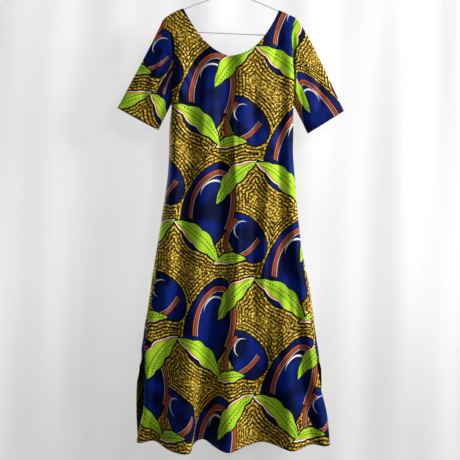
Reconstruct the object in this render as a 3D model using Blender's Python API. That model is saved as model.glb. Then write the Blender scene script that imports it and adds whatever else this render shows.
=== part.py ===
"""A long printed cotton dress with elbow sleeves and side slits, hung on a thin wire hanger.

The pieces are the front, the back, two sleeves and the wire hanger that carries them.
Tables and sizes are in millimetres, and the model is in metres with +Z up and the front facing -Y.
The origin is the top of the space inside the hook, where a rail carries the hanger.
"""

import math
from collections import namedtuple

import bmesh
import bpy

MM = 0.001

# Cloth and seams
CLOTH = 1.2
SEAM_GAP = 0.4

# Heights of the cut, measured down from the rail
UNDERARM = -430.0
SLIT_TOP = -1158.0
HEM = -1424.0

# Shoulder tips and neck points: where the shoulder seams end
LEFT_TIP = (-203.0, -178.8)
LEFT_NECK = (-144.0, -145.2)
RIGHT_NECK = (139.0, -150.8)
RIGHT_TIP = (187.0, -172.9)
NECK_LOW = (-5.0, -288.0)
LEFT_NECK_POWER = 1.9
RIGHT_NECK_POWER = 2.35

# Wire hanger
WIRE = 1.35
WIRE_PEAK = (0.0, -95.0)
HOOK_INSIDE = 18.0
WIRE_SIDES = 4
WIRE_GAP = 0.45
NECK_SLACK = 1.2
NECK_SLACK_SPREAD = 10.0

# Rounding of the cloth over the wire, and of its sides
SHOULDER_ROUND = 3.4
SHOULDER_SPREAD = 70.0
ARMHOLE_DEPTH = 0.9
ARMHOLE_ROUND = 95.0

Side = namedtuple("Side", "height left right left_wrap right_wrap")
# The front panel's edges, and how far the back panel reaches round past them
SIDES = (
    Side(-430, -178.0, 180.5, 0.0, 0.0),
    Side(-504, -184.7, 180.5, 0.0, 0.0),
    Side(-563, -185.3, 179.5, 0.0, 0.0),
    Side(-628, -188.2, 183.5, 0.0, 0.0),
    Side(-698, -197.0, 188.5, 0.0, 0.0),
    Side(-769, -208.0, 195.5, 0.0, 0.0),
    Side(-837, -215.3, 202.5, 3.0, 1.0),
    Side(-893, -219.2, 208.8, 8.5, 4.0),
    Side(-955, -225.0, 216.8, 12.5, 9.5),
    Side(-1043, -241.3, 227.0, 9.0, 12.0),
    Side(-1114, -252.2, 236.6, 9.0, 12.0),
    Side(-1158, -255.5, 244.3, 12.0, 11.5),
    Side(-1210, -255.2, 251.6, 11.0, 9.0),
    Side(-1259, -254.9, 259.3, 8.0, 6.0),
    Side(-1300, -256.7, 270.5, 5.0, 3.0),
    Side(-1340, -260.5, 279.1, 4.0, 2.0),
    Side(-1386, -272.2, 283.8, 3.0, 2.0),
    Side(-1430, -279.5, 286.7, 2.0, 2.0),
)

Slit = namedtuple("Slit", "height left right left_turn right_turn")
# The back panel's own edges below the slits, and how far each turns behind its widest point, in degrees
BACK_SLIT = (
    Slit(-1210, -272.9, 263.1, 0.0, 0.0),
    Slit(-1259, -281.1, 264.3, 6.0, 6.0),
    Slit(-1300, -282.6, 260.0, 8.0, 8.0),
    Slit(-1340, -282.6, 257.0, 10.0, 10.0),
    Slit(-1430, -279.0, 251.0, 12.0, 12.0),
)

Armhole = namedtuple("Armhole", "share left_in right_in")
# Share of the way from underarm to shoulder tip, and how far the seam lies inside the straight line
ARMHOLE = (
    Armhole(0.0, 0.0, 0.0),
    Armhole(0.15, 6.0, 0.5),
    Armhole(0.32, 14.0, 1.5),
    Armhole(0.5, 24.5, 6.0),
    Armhole(0.66, 27.0, 8.0),
    Armhole(0.8, 24.0, 10.0),
    Armhole(0.92, 15.0, 7.0),
    Armhole(1.0, 0.0, 0.0),
)

Depth = namedtuple("Depth", "height front back side_round")
# How far the cloth stands in front of and behind the hanger, and how wide its sides round over
DEPTHS = (
    Depth(-170, 20.0, 20.0, 22.0),
    Depth(-300, 25.0, 26.0, 24.0),
    Depth(-430, 30.0, 31.0, 26.0),
    Depth(-600, 32.0, 34.0, 28.0),
    Depth(-800, 32.0, 36.0, 30.0),
    Depth(-1100, 33.0, 40.0, 30.0),
    Depth(-1430, 37.0, 46.0, 30.0),
)

Fold = namedtuple("Fold", "name top mid hem push_top push_mid push_hem width_top width_hem lean")
# Where each fold runs at underarm, hip and hem, and how far it stands forward there
FRONT_FOLDS = (
    Fold("left_roll", -156, -181, -222, 8, 7, 0, 20, 26, 0),
    Fold("left_hollow", -109, -150, -232, -9, -15, -22, 24, 32, 0),
    Fold("left_shelf", -80, -124, -182, 3, 6, 26, 26, 30, 0),
    Fold("left_ridge", -52, -103, -154, 5, 9, 42, 24, 27, 30),
    Fold("centre_hollow", -14, -38, -94, -10, -13, -34, 22, 30, 6),
    Fold("centre_ridge", 27, 9, -11, 8, 9, 42, 26, 38, 0),
    Fold("low_hollow", 100, 108, 88, 0, -3, -24, 26, 36, 0),
    Fold("right_ridge", 150, 146, 172, 0, 4, 28, 24, 32, 0),
    Fold("right_hollow", 145, 160, 238, -11, -15, -14, 26, 26, 0),
    Fold("right_roll", 170, 192, 262, 5, 6, 2, 18, 20, 0),
)
BACK_FOLDS = (
    Fold("back_left_ridge", -120, -150, -196, 5, 10, 22, 30, 40, 0),
    Fold("back_left_hollow", -70, -86, -110, -7, -9, -18, 26, 38, 0),
    Fold("back_centre_ridge", -10, -12, -22, 6, 9, 20, 30, 44, 0),
    Fold("back_right_hollow", 62, 74, 76, -7, -9, -18, 26, 38, 0),
    Fold("back_right_ridge", 124, 140, 168, 5, 9, 20, 30, 42, 0),
)
FOLD_MID = -900.0
FOLD_FADE = 70.0
# How far the hem drops below a fold that stands forward, and towards the right
HEM_FOLLOWS_FOLD = 0.24
HEM_TILT = 0.015

Sleeve = namedtuple("Sleeve", "side outer inner cap_bulge")
# Outer and inner corners of each cuff, and how far the cap swells past the line from tip to cuff
SLEEVES = (
    Sleeve("left", (-337.8, -438.7), (-217.7, -503.6), -3.0),
    Sleeve("right", (329.5, -447.6), (223.6, -513.9), 7.5),
)
CUFF_DEPTH = 14.0
CUFF_POWER = 0.8
SLEEVE_RINGS = 7

# How the panels are divided: columns round the side, over a shoulder and under the neckline, then rows
SIDE_COLUMNS = 5
STRAP_COLUMNS = 5
NECK_COLUMNS = 24
NECK_CROWDING = 0.85
SKIRT_ROWS = (
    0, 34, 74, 124, 174, 224, 266, 319, 374, 434, 499, 564, 629, 694, 759, 824, 884, 944, 994,
)
ARMHOLE_ROWS = (8, 26, 51, 82, 115, 151, 187, 215, 233, 243, 247.5, 249.8, 250.95, 251.2)

# Mean colour of the navy, gold and lime print, and the wire's coating
PRINT_MEAN = (0.22, 0.2, 0.06, 1.0)
WIRE_GREY = (0.62, 0.62, 0.61, 1.0)


def clear_scene():
    for obj in list(bpy.data.objects):
        bpy.data.objects.remove(obj)


def lerp(a, b, share):
    return a + (b - a) * share


def clamp(value, low=0.0, high=1.0):
    return max(low, min(high, value))


def eased(share):
    share = clamp(share)
    return share * share * (3 - 2 * share)


def read_table(rows, key, column, at):
    """A smooth curve through one column of a table whose keys rise or fall steadily."""
    rows = sorted(rows, key=lambda row: getattr(row, key))
    keys = [getattr(row, key) for row in rows]
    values = [getattr(row, column) for row in rows]
    at = clamp(at, keys[0], keys[-1])
    i = next(n for n in range(len(keys) - 1) if at <= keys[n + 1])

    def slope(n):
        if n in (0, len(keys) - 1):
            return 0.0
        before = (values[n] - values[n - 1]) / (keys[n] - keys[n - 1])
        after = (values[n + 1] - values[n]) / (keys[n + 1] - keys[n])
        return 0.0 if before * after <= 0 else 2 * before * after / (before + after)

    span = keys[i + 1] - keys[i]
    t = (at - keys[i]) / span
    return (
        values[i] * (1 + 2 * t) * (1 - t) ** 2
        + values[i + 1] * t * t * (3 - 2 * t)
        + span * (slope(i) * t * (1 - t) ** 2 - slope(i + 1) * t * t * (1 - t))
    )


def shoulder_height(x):
    """Top of the cloth over the wire, carried on as the wire's own line across the neck opening."""
    if x < LEFT_NECK[0]:
        share = (x - LEFT_NECK[0]) / (LEFT_TIP[0] - LEFT_NECK[0])
        return lerp(LEFT_NECK[1], LEFT_TIP[1], 0.6 * share + 0.4 * share**2.6)
    if x > RIGHT_NECK[0]:
        share = (x - RIGHT_NECK[0]) / (RIGHT_TIP[0] - RIGHT_NECK[0])
        return lerp(RIGHT_NECK[1], RIGHT_TIP[1], 0.85 * share + 0.15 * share**2)
    neck = LEFT_NECK if x < WIRE_PEAK[0] else RIGHT_NECK
    return lerp(WIRE_PEAK[1] + SHOULDER_ROUND, neck[1], (x - WIRE_PEAK[0]) / (neck[0] - WIRE_PEAK[0]))


def neck_height(x):
    """The scooped neckline, which meets the shoulder seams at the neck points."""
    neck, power = (LEFT_NECK, LEFT_NECK_POWER) if x < NECK_LOW[0] else (RIGHT_NECK, RIGHT_NECK_POWER)
    share = clamp(abs((x - NECK_LOW[0]) / (neck[0] - NECK_LOW[0])))
    return lerp(NECK_LOW[1], neck[1], share**power)


def fold_push(folds, x, z):
    """How far the folds move a point forward, and sideways with their crests."""
    forward = sideways = 0.0
    for fold in folds:
        if z > FOLD_MID:
            share = clamp((UNDERARM - z) / (UNDERARM - FOLD_MID), -1.0)
            centre = lerp(fold.top, fold.mid, share)
            push = lerp(fold.push_top, fold.push_mid, share)
        else:
            share = (FOLD_MID - z) / (FOLD_MID - HEM)
            centre = lerp(fold.mid, fold.hem, share)
            push = lerp(fold.push_mid, fold.push_hem, share**1.3)
        fall = clamp((UNDERARM - z) / (UNDERARM - HEM))
        width = lerp(fold.width_top, fold.width_hem, fall)
        shape = math.exp(-(((x - centre) / width) ** 2))
        # A fold starts below the shoulder and grows as the cloth falls
        shape *= eased((shoulder_height(x) - z) / (2.5 * FOLD_FADE))
        forward += push * shape
        sideways += fold.lean * shape * fall**2
    return forward, sideways


class Panel:
    """The front or the back: a sheet that spans hem, side seams, armholes, shoulders and neckline."""

    def __init__(self, name, towards, folds):
        self.name = name
        self.towards = towards
        self.folds = folds
        hem_to_tip = [HEM + up for up in SKIRT_ROWS] + [UNDERARM + up for up in ARMHOLE_ROWS]
        self.rows = [(z - HEM) / (LEFT_TIP[1] - HEM) for z in hem_to_tip]
        self.underarm_row = len(SKIRT_ROWS) - 1
        self.columns = self.column_list()

    def is_front(self):
        return self.towards < 0

    def edge_height(self, side, r):
        """Height of the panel's edge: hem, slit top and underarm are level, and the tips are not."""
        tip = LEFT_TIP[1] if side == "left" else RIGHT_TIP[1]
        z = lerp(HEM, LEFT_TIP[1], r)
        if z <= UNDERARM:
            return z
        return lerp(UNDERARM, tip, (z - UNDERARM) / (LEFT_TIP[1] - UNDERARM))

    def edge(self, side, z):
        """Where the panel's edge is, and the angle it has reached round its side, in radians."""
        tip = LEFT_TIP if side == "left" else RIGHT_TIP
        outward = -1 if side == "left" else 1
        # The seam stands a little wider at both ends, where the cloth turns away from it
        ends = math.exp(-(((z - UNDERARM) / 20) ** 2)) + math.exp(-(((z - SLIT_TOP) / 40) ** 2))
        gap = SEAM_GAP / 2 * (1 + 2 * ends) / read_table(DEPTHS, "height", "side_round", z)
        if z >= UNDERARM:
            share = clamp((z - UNDERARM) / (tip[1] - UNDERARM))
            straight = lerp(getattr(SIDES[0], side), tip[0], share)
            x = straight - outward * read_table(ARMHOLE, "share", side + "_in", share)
            rise = 1 - clamp((z - UNDERARM) / ARMHOLE_ROUND)
            return x, gap + math.asin(ARMHOLE_DEPTH * (1 - rise * rise))
        x = read_table(SIDES, "height", side, z)
        wrap = read_table(SIDES, "height", side + "_wrap", z)
        turn = math.acos(clamp(1 - wrap / read_table(DEPTHS, "height", "side_round", z), -1))
        if self.is_front():
            return x, turn + gap
        if z >= SLIT_TOP:
            return x, gap - turn
        # Below the slit the back swings free of the front
        free = eased((SLIT_TOP - z) / (SLIT_TOP - BACK_SLIT[0].height))
        own_x = read_table(BACK_SLIT, "height", side, z)
        own_turn = math.radians(read_table(BACK_SLIT, "height", side + "_turn", z))
        return lerp(x, own_x, free), lerp(gap - turn, own_turn, free)

    def column_list(self):
        """Each column's stretch of the panel, from left to right, and its share of that stretch."""
        columns = []
        for stretch, count in (
            ("left", SIDE_COLUMNS),
            ("left_strap", STRAP_COLUMNS),
            ("neck", NECK_COLUMNS),
            ("right_strap", STRAP_COLUMNS),
            ("right", SIDE_COLUMNS),
        ):
            columns += [(stretch, n / count) for n in range(count)]
        return columns + [("right", 1.0)]

    def flat_ends(self, r):
        """Where the rounded sides meet the flatter middle of the panel, left and right."""
        ends = []
        for side, outward in (("left", -1), ("right", 1)):
            z = self.edge_height(side, r)
            x, turn = self.edge(side, z)
            ends.append(x - outward * read_table(DEPTHS, "height", "side_round", z) * math.cos(turn))
        return ends

    def across(self, column, r):
        """x of a point on this row, and the sine of the angle that it has turned from the side."""
        stretch, share = column
        if stretch in ("left", "right"):
            z = self.edge_height(stretch, r)
            x, turn = self.edge(stretch, z)
            side_round = read_table(DEPTHS, "height", "side_round", z)
            outward = -1 if stretch == "left" else 1
            angle = lerp(turn, math.pi / 2, share if stretch == "left" else 1 - share)
            return x - outward * side_round * (math.cos(turn) - math.cos(angle)), math.sin(angle)
        left, right = self.flat_ends(r)
        top_left, top_right = self.flat_ends(1.0)
        under_left, under_right = self.flat_ends(min(r, self.rows[self.underarm_row]))
        # The columns from the neck points hang straight, then spread with the skirt
        below_neck = clamp((1 - r) / (1 - self.rows[self.underarm_row])) ** 2
        necks = []
        for neck_x in (LEFT_NECK[0], RIGHT_NECK[0]):
            part = (neck_x - top_left) / (top_right - top_left)
            necks.append(lerp(neck_x, lerp(under_left, under_right, part), below_neck))
        if stretch == "left_strap":
            return lerp(left, necks[0], share), 1.0
        if stretch == "right_strap":
            return lerp(necks[1], right, share), 1.0
        # Closest together at the neck points, where the neckline turns over the wire
        crowded = lerp(share, 0.5 - 0.5 * math.cos(math.pi * share), NECK_CROWDING)
        return lerp(*necks, lerp(crowded, share, below_neck)), 1.0

    def row_share(self, column_index, row_index):
        """A row's share of the way up: crowded over the shoulders, and even below the neckline."""
        r = self.rows[row_index]
        if row_index <= self.underarm_row:
            return r
        first_neck = SIDE_COLUMNS + STRAP_COLUMNS
        from_neck = min(column_index - first_neck, len(self.columns) - 1 - first_neck - column_index)
        steps = len(self.rows) - 1 - self.underarm_row
        even = lerp(self.rows[self.underarm_row], 1.0, (row_index - self.underarm_row) / steps)
        return lerp(r, even, eased(from_neck / 4))

    def top_height(self, x):
        if LEFT_NECK[0] < x < RIGHT_NECK[0]:
            return neck_height(x)
        return shoulder_height(x)

    def depth(self, x, z, sine):
        """How far the cloth stands from the hanger's plane, before its folds."""
        side = "front" if self.is_front() or sine < 0 else "back"
        full = read_table(DEPTHS, "height", side, z)
        below = max(0.0, shoulder_height(x) - z)
        over_wire = clamp(below / SHOULDER_ROUND)
        near = SHOULDER_ROUND * math.sqrt(1 - (1 - over_wire) ** 2)
        far = (full - SHOULDER_ROUND) * (1 - math.exp(-below / SHOULDER_SPREAD))
        return (near + far) * sine

    def point(self, column_index, row_index):
        """Middle of the cloth at a column and a row, in millimetres."""
        column, r = self.columns[column_index], self.row_share(column_index, row_index)
        share = column_index / (len(self.columns) - 1)
        last = len(self.columns) - 1
        margin = SIDE_COLUMNS + 1.5
        inside = eased(column_index / margin) * eased((last - column_index) / margin)
        x, sine = self.across(column, r)
        top = self.top_height(self.across(column, 1.0)[0])
        hem_x = self.across(column, 0.0)[0]
        bottom = HEM - HEM_TILT * hem_x - HEM_FOLLOWS_FOLD * fold_push(self.folds, hem_x, HEM)[0] * inside
        z = lerp(bottom, top, r)
        for side, weight in (("left", 1 - share), ("right", share)):
            tip = LEFT_TIP[1] if side == "left" else RIGHT_TIP[1]
            z += weight * (self.edge_height(side, r) - lerp(HEM, tip, r))
        forward, sideways = fold_push(self.folds, x, z)
        y = self.depth(x, z, sine) + forward * inside
        if row_index == len(self.rows) - 1:
            y = max(y, 0.8 * SEAM_GAP)
        return x + sideways * inside, self.towards * y, z

    def edge_ring(self, side):
        """The armhole's points, from the underarm up to the shoulder tip."""
        column = 0 if side == "left" else len(self.columns) - 1
        return [self.point(column, row) for row in range(self.underarm_row, len(self.rows))]


def material(name, colour, roughness, metallic=0.0):
    made = bpy.data.materials.new(name)
    made.use_nodes = True
    shader = made.node_tree.nodes["Principled BSDF"]
    shader.inputs["Base Color"].default_value = colour
    shader.inputs["Roughness"].default_value = roughness
    shader.inputs["Metallic"].default_value = metallic
    return made


def cloth_sheet(name, columns, rows, place, closed=False):
    """A grid laid on the garment by place(column, row), then given the cloth's thickness."""
    shape = bmesh.new()
    bmesh.ops.create_grid(shape, x_segments=columns, y_segments=rows, size=1.0)
    for vert in shape.verts:
        column = round((vert.co.x + 1) / 2 * columns)
        row = round((vert.co.y + 1) / 2 * rows)
        vert.co = [value * MM for value in place(column, row)]
    if closed:
        bmesh.ops.remove_doubles(shape, verts=shape.verts, dist=0.02 * MM)
        bmesh.ops.recalc_face_normals(shape, faces=shape.faces)
    mesh = bpy.data.meshes.new(name)
    shape.to_mesh(mesh)
    shape.free()
    mesh.materials.append(material(name + "_cotton", PRINT_MEAN, 0.6))
    mesh.shade_smooth()
    sheet = bpy.data.objects.new(name, mesh)
    bpy.context.scene.collection.objects.link(sheet)
    wall = sheet.modifiers.new("Cloth", "SOLIDIFY")
    wall.thickness = CLOTH * MM
    wall.offset = 0.0


def build_panel(panel):
    cloth_sheet(panel.name, len(panel.columns) - 1, len(panel.rows) - 1, panel.point)


def build_sleeve(sleeve, front, back):
    """A tube from the armhole to the cuff, whose first ring is the armhole's own points moved out."""
    outward = -1 if sleeve.side == "left" else 1
    fore, aft = front.edge_ring(sleeve.side), back.edge_ring(sleeve.side)
    count = len(fore) - 1
    # Down the front from the tip to the underarm, then up the back
    ring = [fore[count - n] for n in range(count)] + [aft[n] for n in range(count)]
    ring[0] = (ring[0][0], 0.0, ring[0][2])
    ring[count] = (ring[count][0], 0.0, ring[count][2])
    lengths = [0.0]
    for n in range(2 * count):
        lengths.append(lengths[-1] + math.dist(ring[n], ring[(n + 1) % (2 * count)]))
    centre = [(a + b) / 2 for a, b in zip(sleeve.outer, sleeve.inner)]
    half = [(b - a) / 2 for a, b in zip(sleeve.outer, sleeve.inner)]

    def place(column, step):
        n = column % (2 * count)
        half_length = lengths[count] if n <= count else lengths[-1] - lengths[count]
        past = lengths[n] if n <= count else lengths[n] - lengths[count]
        angle = math.pi * past / half_length + (0 if n <= count else math.pi)
        cosine, sine = math.cos(angle), math.sin(angle)
        start_x, start_y, start_z = ring[n]
        # The sleeve starts a gap outside the armhole, and a wall further where the two lie side by side
        beside = eased((-cosine - 0.2) / 0.8)
        at_tip = eased((cosine - 0.6) / 0.4)
        start_x += outward * (SEAM_GAP + 0.3 + CLOTH * (1.15 * beside + 0.35 * at_tip))
        cuff_y = -CUFF_DEPTH * math.copysign(abs(sine) ** CUFF_POWER, sine)
        cuff = (centre[0] - half[0] * cosine, cuff_y, centre[1] - half[1] * cosine)
        share = step / SLEEVE_RINGS
        swell = sleeve.cap_bulge * math.sin(math.pi * share**0.6) * max(0.0, cosine)
        return (
            lerp(start_x, cuff[0], share) + outward * swell,
            lerp(start_y, cuff[1], share),
            lerp(start_z, cuff[2], share),
        )

    cloth_sheet("sleeve_" + sleeve.side, 2 * count, SLEEVE_RINGS, place, closed=True)


def wire(name, points):
    """A round wire along points in the hanger's plane."""
    path = bpy.data.curves.new(name, "CURVE")
    path.dimensions = "3D"
    path.bevel_depth = WIRE * MM
    path.bevel_resolution = WIRE_SIDES - 2
    path.use_fill_caps = True
    spline = path.splines.new("POLY")
    spline.points.add(len(points) - 1)
    for spot, (x, z) in zip(spline.points, points):
        spot.co = (x * MM, 0.0, z * MM, 1.0)
    path.materials.append(material(name + "_coating", WIRE_GREY, 0.35))
    bpy.context.scene.collection.objects.link(bpy.data.objects.new(name, path))


def rounded(points, steps):
    """A smooth line through its own points."""
    line = []
    last = len(points) - 1
    for n in range(last):
        before, start, end, after = (points[clamp(n + k, 0, last)] for k in (-1, 0, 1, 2))
        for step in range(steps):
            t = step / steps
            line.append(
                tuple(
                    0.5 * (2 * b + (c - a) * t + (2 * a - 5 * b + 4 * c - d) * t * t
                           + (3 * b - a - 3 * c + d) * t**3)
                    for a, b, c, d in zip(before, start, end, after)
                )
            )
    return line + [points[-1]]


def under_shoulder(x):
    """A point of the wire below the shoulder seam at x, a little lower at the neck points."""
    rise = (shoulder_height(x + 1) - shoulder_height(x - 1)) / 2
    length = math.hypot(1, rise)
    from_neck = min(abs(x - LEFT_NECK[0]), abs(x - RIGHT_NECK[0]))
    down = WIRE + CLOTH / 2 + WIRE_GAP + NECK_SLACK * math.exp(-((from_neck / NECK_SLACK_SPREAD) ** 2))
    return x + down * rise / length, shoulder_height(x) - down / length


def build_hanger():
    """The hook with its stem, two shaped arms and the lower bar, a seam's gap apart."""
    ring = HOOK_INSIDE + WIRE
    middle = WIRE - ring
    hook = [
        (ring * math.cos(math.radians(angle)), middle + ring * math.sin(math.radians(angle)))
        for angle in range(196, -52, -14)
    ]
    hook += rounded([hook[-1], (3.0, middle - 27), (0.0, middle - 38), (0.0, WIRE_PEAK[1] - 2.0)], 4)[1:]
    left_end = [(-199.5, -186.0), (-199.0, -199.0), (-191.0, -208.5), (-180.0, -211.6), (-176.0, -211.9)]
    right_end = [(187.0, -187.0), (189.0, -204.0), (184.5, -219.0), (175.0, -226.6), (171.0, -227.3)]
    left = [(-2.4, -96.5)] + [under_shoulder(x) for x in (-110, -136, -144, -156, -168, -180, -191)]
    right = [(2.4, -96.5)] + [under_shoulder(x) for x in (105, 131, 139, 149, 158, 168, 178)]
    wire("hanger_hook", hook)
    wire("hanger_arm_left", left + rounded(left[-1:] + left_end, 4)[1:])
    wire("hanger_arm_right", right + rounded(right[-1:] + right_end, 4)[1:])
    start, end = left_end[-1], right_end[-1]
    trim = SEAM_GAP / math.dist(start, end)
    bar = [tuple(lerp(a, b, share) for a, b in zip(start, end)) for share in (trim, 1 - trim)]
    wire("hanger_bar", bar)


def main():
    clear_scene()
    front = Panel("front", -1, FRONT_FOLDS)
    back = Panel("back", 1, BACK_FOLDS)
    build_panel(front)
    build_panel(back)
    for sleeve in SLEEVES:
        build_sleeve(sleeve, front, back)
    build_hanger()


main()
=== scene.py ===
"""Looks of a long printed cotton dress that hangs on a thin wire hanger.

Sizes are in millimetres, as a maker would write them, and the meshes are in metres. The front faces -Y.
"""

import functools
import itertools
import math
from collections import namedtuple

import bmesh
import bpy
import numpy as np
from mathutils import Matrix, Vector, noise


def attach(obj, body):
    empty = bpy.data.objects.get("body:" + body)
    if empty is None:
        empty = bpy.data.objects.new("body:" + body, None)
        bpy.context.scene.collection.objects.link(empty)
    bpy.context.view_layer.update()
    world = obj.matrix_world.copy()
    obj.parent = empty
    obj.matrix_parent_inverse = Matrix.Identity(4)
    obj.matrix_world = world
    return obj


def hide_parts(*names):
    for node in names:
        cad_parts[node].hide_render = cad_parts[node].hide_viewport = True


bl_info = {
    "name": "Printed dress on a hanger",
    "version": (1, 0, 0),
    "blender": (4, 5, 0),
    "location": "3D View > Sidebar > Dress",
    "description": "Models a printed cotton dress with its seams, hems and hanger",
    "category": "Object",
}

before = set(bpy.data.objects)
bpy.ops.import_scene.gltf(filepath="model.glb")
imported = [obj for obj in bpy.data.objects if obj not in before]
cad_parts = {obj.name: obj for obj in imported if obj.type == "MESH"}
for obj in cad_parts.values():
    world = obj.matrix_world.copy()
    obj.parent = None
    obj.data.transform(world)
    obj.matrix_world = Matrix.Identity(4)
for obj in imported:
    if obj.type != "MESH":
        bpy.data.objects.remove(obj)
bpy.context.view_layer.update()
BODY = "root"

MM = 0.001


def table(kind, *rows):
    return [kind(*row) for row in rows]


# Heights of the cut, measured down from the rail
UNDERARM = -430.0
SLIT_TOP = -1158.0
HEM = -1424.0

# Shoulder tips and neck points: where the shoulder seams end, and how much of each seam is bowed
LEFT_TIP = (-203.0, -178.8)
LEFT_NECK = (-144.0, -145.2)
RIGHT_NECK = (139.0, -150.8)
RIGHT_TIP = (187.0, -172.9)
LEFT_BOW = (0.6, 0.4, 2.6)
RIGHT_BOW = (0.85, 0.15, 2)
TIPS = {"left": LEFT_TIP, "right": RIGHT_TIP}
OUTWARD = {"left": -1, "right": 1}
NECK_LOW = (-5.0, -288.0)
LEFT_NECK_POWER = 1.9
RIGHT_NECK_POWER = 2.35

# Wire hanger
WIRE_PEAK = (0.0, -95.0)
HOOK_INSIDE = 18.0
WIRE_GAP = 0.45
NECK_SLACK = 1.2
NECK_SLACK_SPREAD = 10.0
TWIST_TURNS = 4.5
TWIST_TOP = -64.0
TWIST_SPREAD = 1.04
STEM_DROP = 27
STEM_SWAY = (3.6, 1.6)
SPLAY = (4.0, -97.2)

# Rounding of the cloth over the wire, and of its sides
SHOULDER_ROUND = 3.4
SHOULDER_SPREAD = 70.0
ARMHOLE_DEPTH = 0.9
ARMHOLE_ROUND = 95.0
SEAM_GAP = 0.4
UNDERARM_SPREAD = 20
SLIT_SPREAD = 40
CAD_CLOTH = 1.2

Side = namedtuple("Side", "height left right left_wrap right_wrap")
# The front panel's edges, and how far the back panel reaches round past them
SIDES = table(
    Side,
    (-430, -178.0, 180.5, 0.0, 0.0),
    (-504, -184.7, 180.5, 0.0, 0.0),
    (-563, -185.3, 179.5, 0.0, 0.0),
    (-628, -188.2, 183.5, 0.0, 0.0),
    (-698, -197.0, 188.5, 0.0, 0.0),
    (-769, -208.0, 195.5, 0.0, 0.0),
    (-837, -215.3, 202.5, 3.0, 1.0),
    (-893, -219.2, 208.8, 8.5, 4.0),
    (-955, -225.0, 216.8, 12.5, 9.5),
    (-1043, -241.3, 227.0, 9.0, 12.0),
    (-1114, -252.2, 236.6, 9.0, 12.0),
    (-1158, -255.5, 244.3, 12.0, 11.5),
    (-1210, -255.2, 251.6, 11.0, 9.0),
    (-1259, -254.9, 259.3, 8.0, 6.0),
    (-1300, -256.7, 270.5, 5.0, 3.0),
    (-1340, -260.5, 279.1, 4.0, 2.0),
    (-1386, -272.2, 283.8, 3.0, 2.0),
    (-1430, -279.5, 286.7, 2.0, 2.0),
)

Slit = namedtuple("Slit", "height left right left_turn right_turn")
# The back panel's own edges below the slits, and how far each turns behind its widest point, in degrees
BACK_SLIT = table(
    Slit,
    (-1210, -272.9, 263.1, 0.0, 0.0),
    (-1259, -281.1, 264.3, 6.0, 6.0),
    (-1300, -282.6, 260.0, 8.0, 8.0),
    (-1340, -282.6, 257.0, 10.0, 10.0),
    (-1430, -279.0, 251.0, 12.0, 12.0),
)

Armhole = namedtuple("Armhole", "share left_in right_in")
# Share of the way from underarm to shoulder tip, and how far the seam lies inside the straight line
ARMHOLE = table(
    Armhole,
    (0.0, 0.0, 0.0),
    (0.15, 6.0, 0.5),
    (0.32, 14.0, 1.5),
    (0.5, 24.5, 6.0),
    (0.66, 27.0, 8.0),
    (0.8, 24.0, 10.0),
    (0.92, 15.0, 7.0),
    (1.0, 0.0, 0.0),
)

Depth = namedtuple("Depth", "height front back side_round")
# How far the cloth stands in front of and behind the hanger, and how wide its sides round over
DEPTHS = table(
    Depth,
    (-170, 20.0, 20.0, 22.0),
    (-300, 25.0, 26.0, 24.0),
    (-430, 30.0, 31.0, 26.0),
    (-600, 32.0, 34.0, 28.0),
    (-800, 32.0, 36.0, 30.0),
    (-1100, 33.0, 40.0, 30.0),
    (-1430, 37.0, 46.0, 30.0),
)

Fold = namedtuple("Fold", "top mid hem push_top push_mid push_hem width_top width_hem lean")
# From left to right: where each fold runs at underarm, hip and hem, and how far it stands forward there
FRONT_FOLDS = table(
    Fold,
    (-156, -181, -222, 8, 7, 0, 20, 26, 0),
    (-109, -150, -232, -9, -15, -22, 24, 32, 0),
    (-80, -124, -182, 3, 6, 26, 26, 30, 0),
    (-52, -103, -154, 5, 9, 42, 24, 27, 30),
    (-14, -38, -94, -10, -13, -34, 22, 30, 6),
    (27, 9, -11, 8, 9, 42, 26, 38, 0),
    (100, 108, 88, 0, -3, -24, 26, 36, 0),
    (150, 146, 172, 0, 4, 28, 24, 32, 0),
    (145, 160, 238, -11, -15, -14, 26, 26, 0),
    (170, 192, 262, 5, 6, 2, 18, 20, 0),
)
BACK_FOLDS = table(
    Fold,
    (-120, -150, -196, 5, 10, 22, 30, 40, 0),
    (-70, -86, -110, -7, -9, -18, 26, 38, 0),
    (-10, -12, -22, 6, 9, 20, 30, 44, 0),
    (62, 74, 76, -7, -9, -18, 26, 38, 0),
    (124, 140, 168, 5, 9, 20, 30, 42, 0),
)
FOLD_MID = -900.0
FOLD_FADE = 70.0
FOLD_START = 2.5 * FOLD_FADE
FOLD_SWELL = 1.3
HEM_FOLLOWS_FOLD = 0.24
HEM_TILT = 0.015

Crease = namedtuple("Crease", "x z to_x to_z width push bow")
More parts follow.
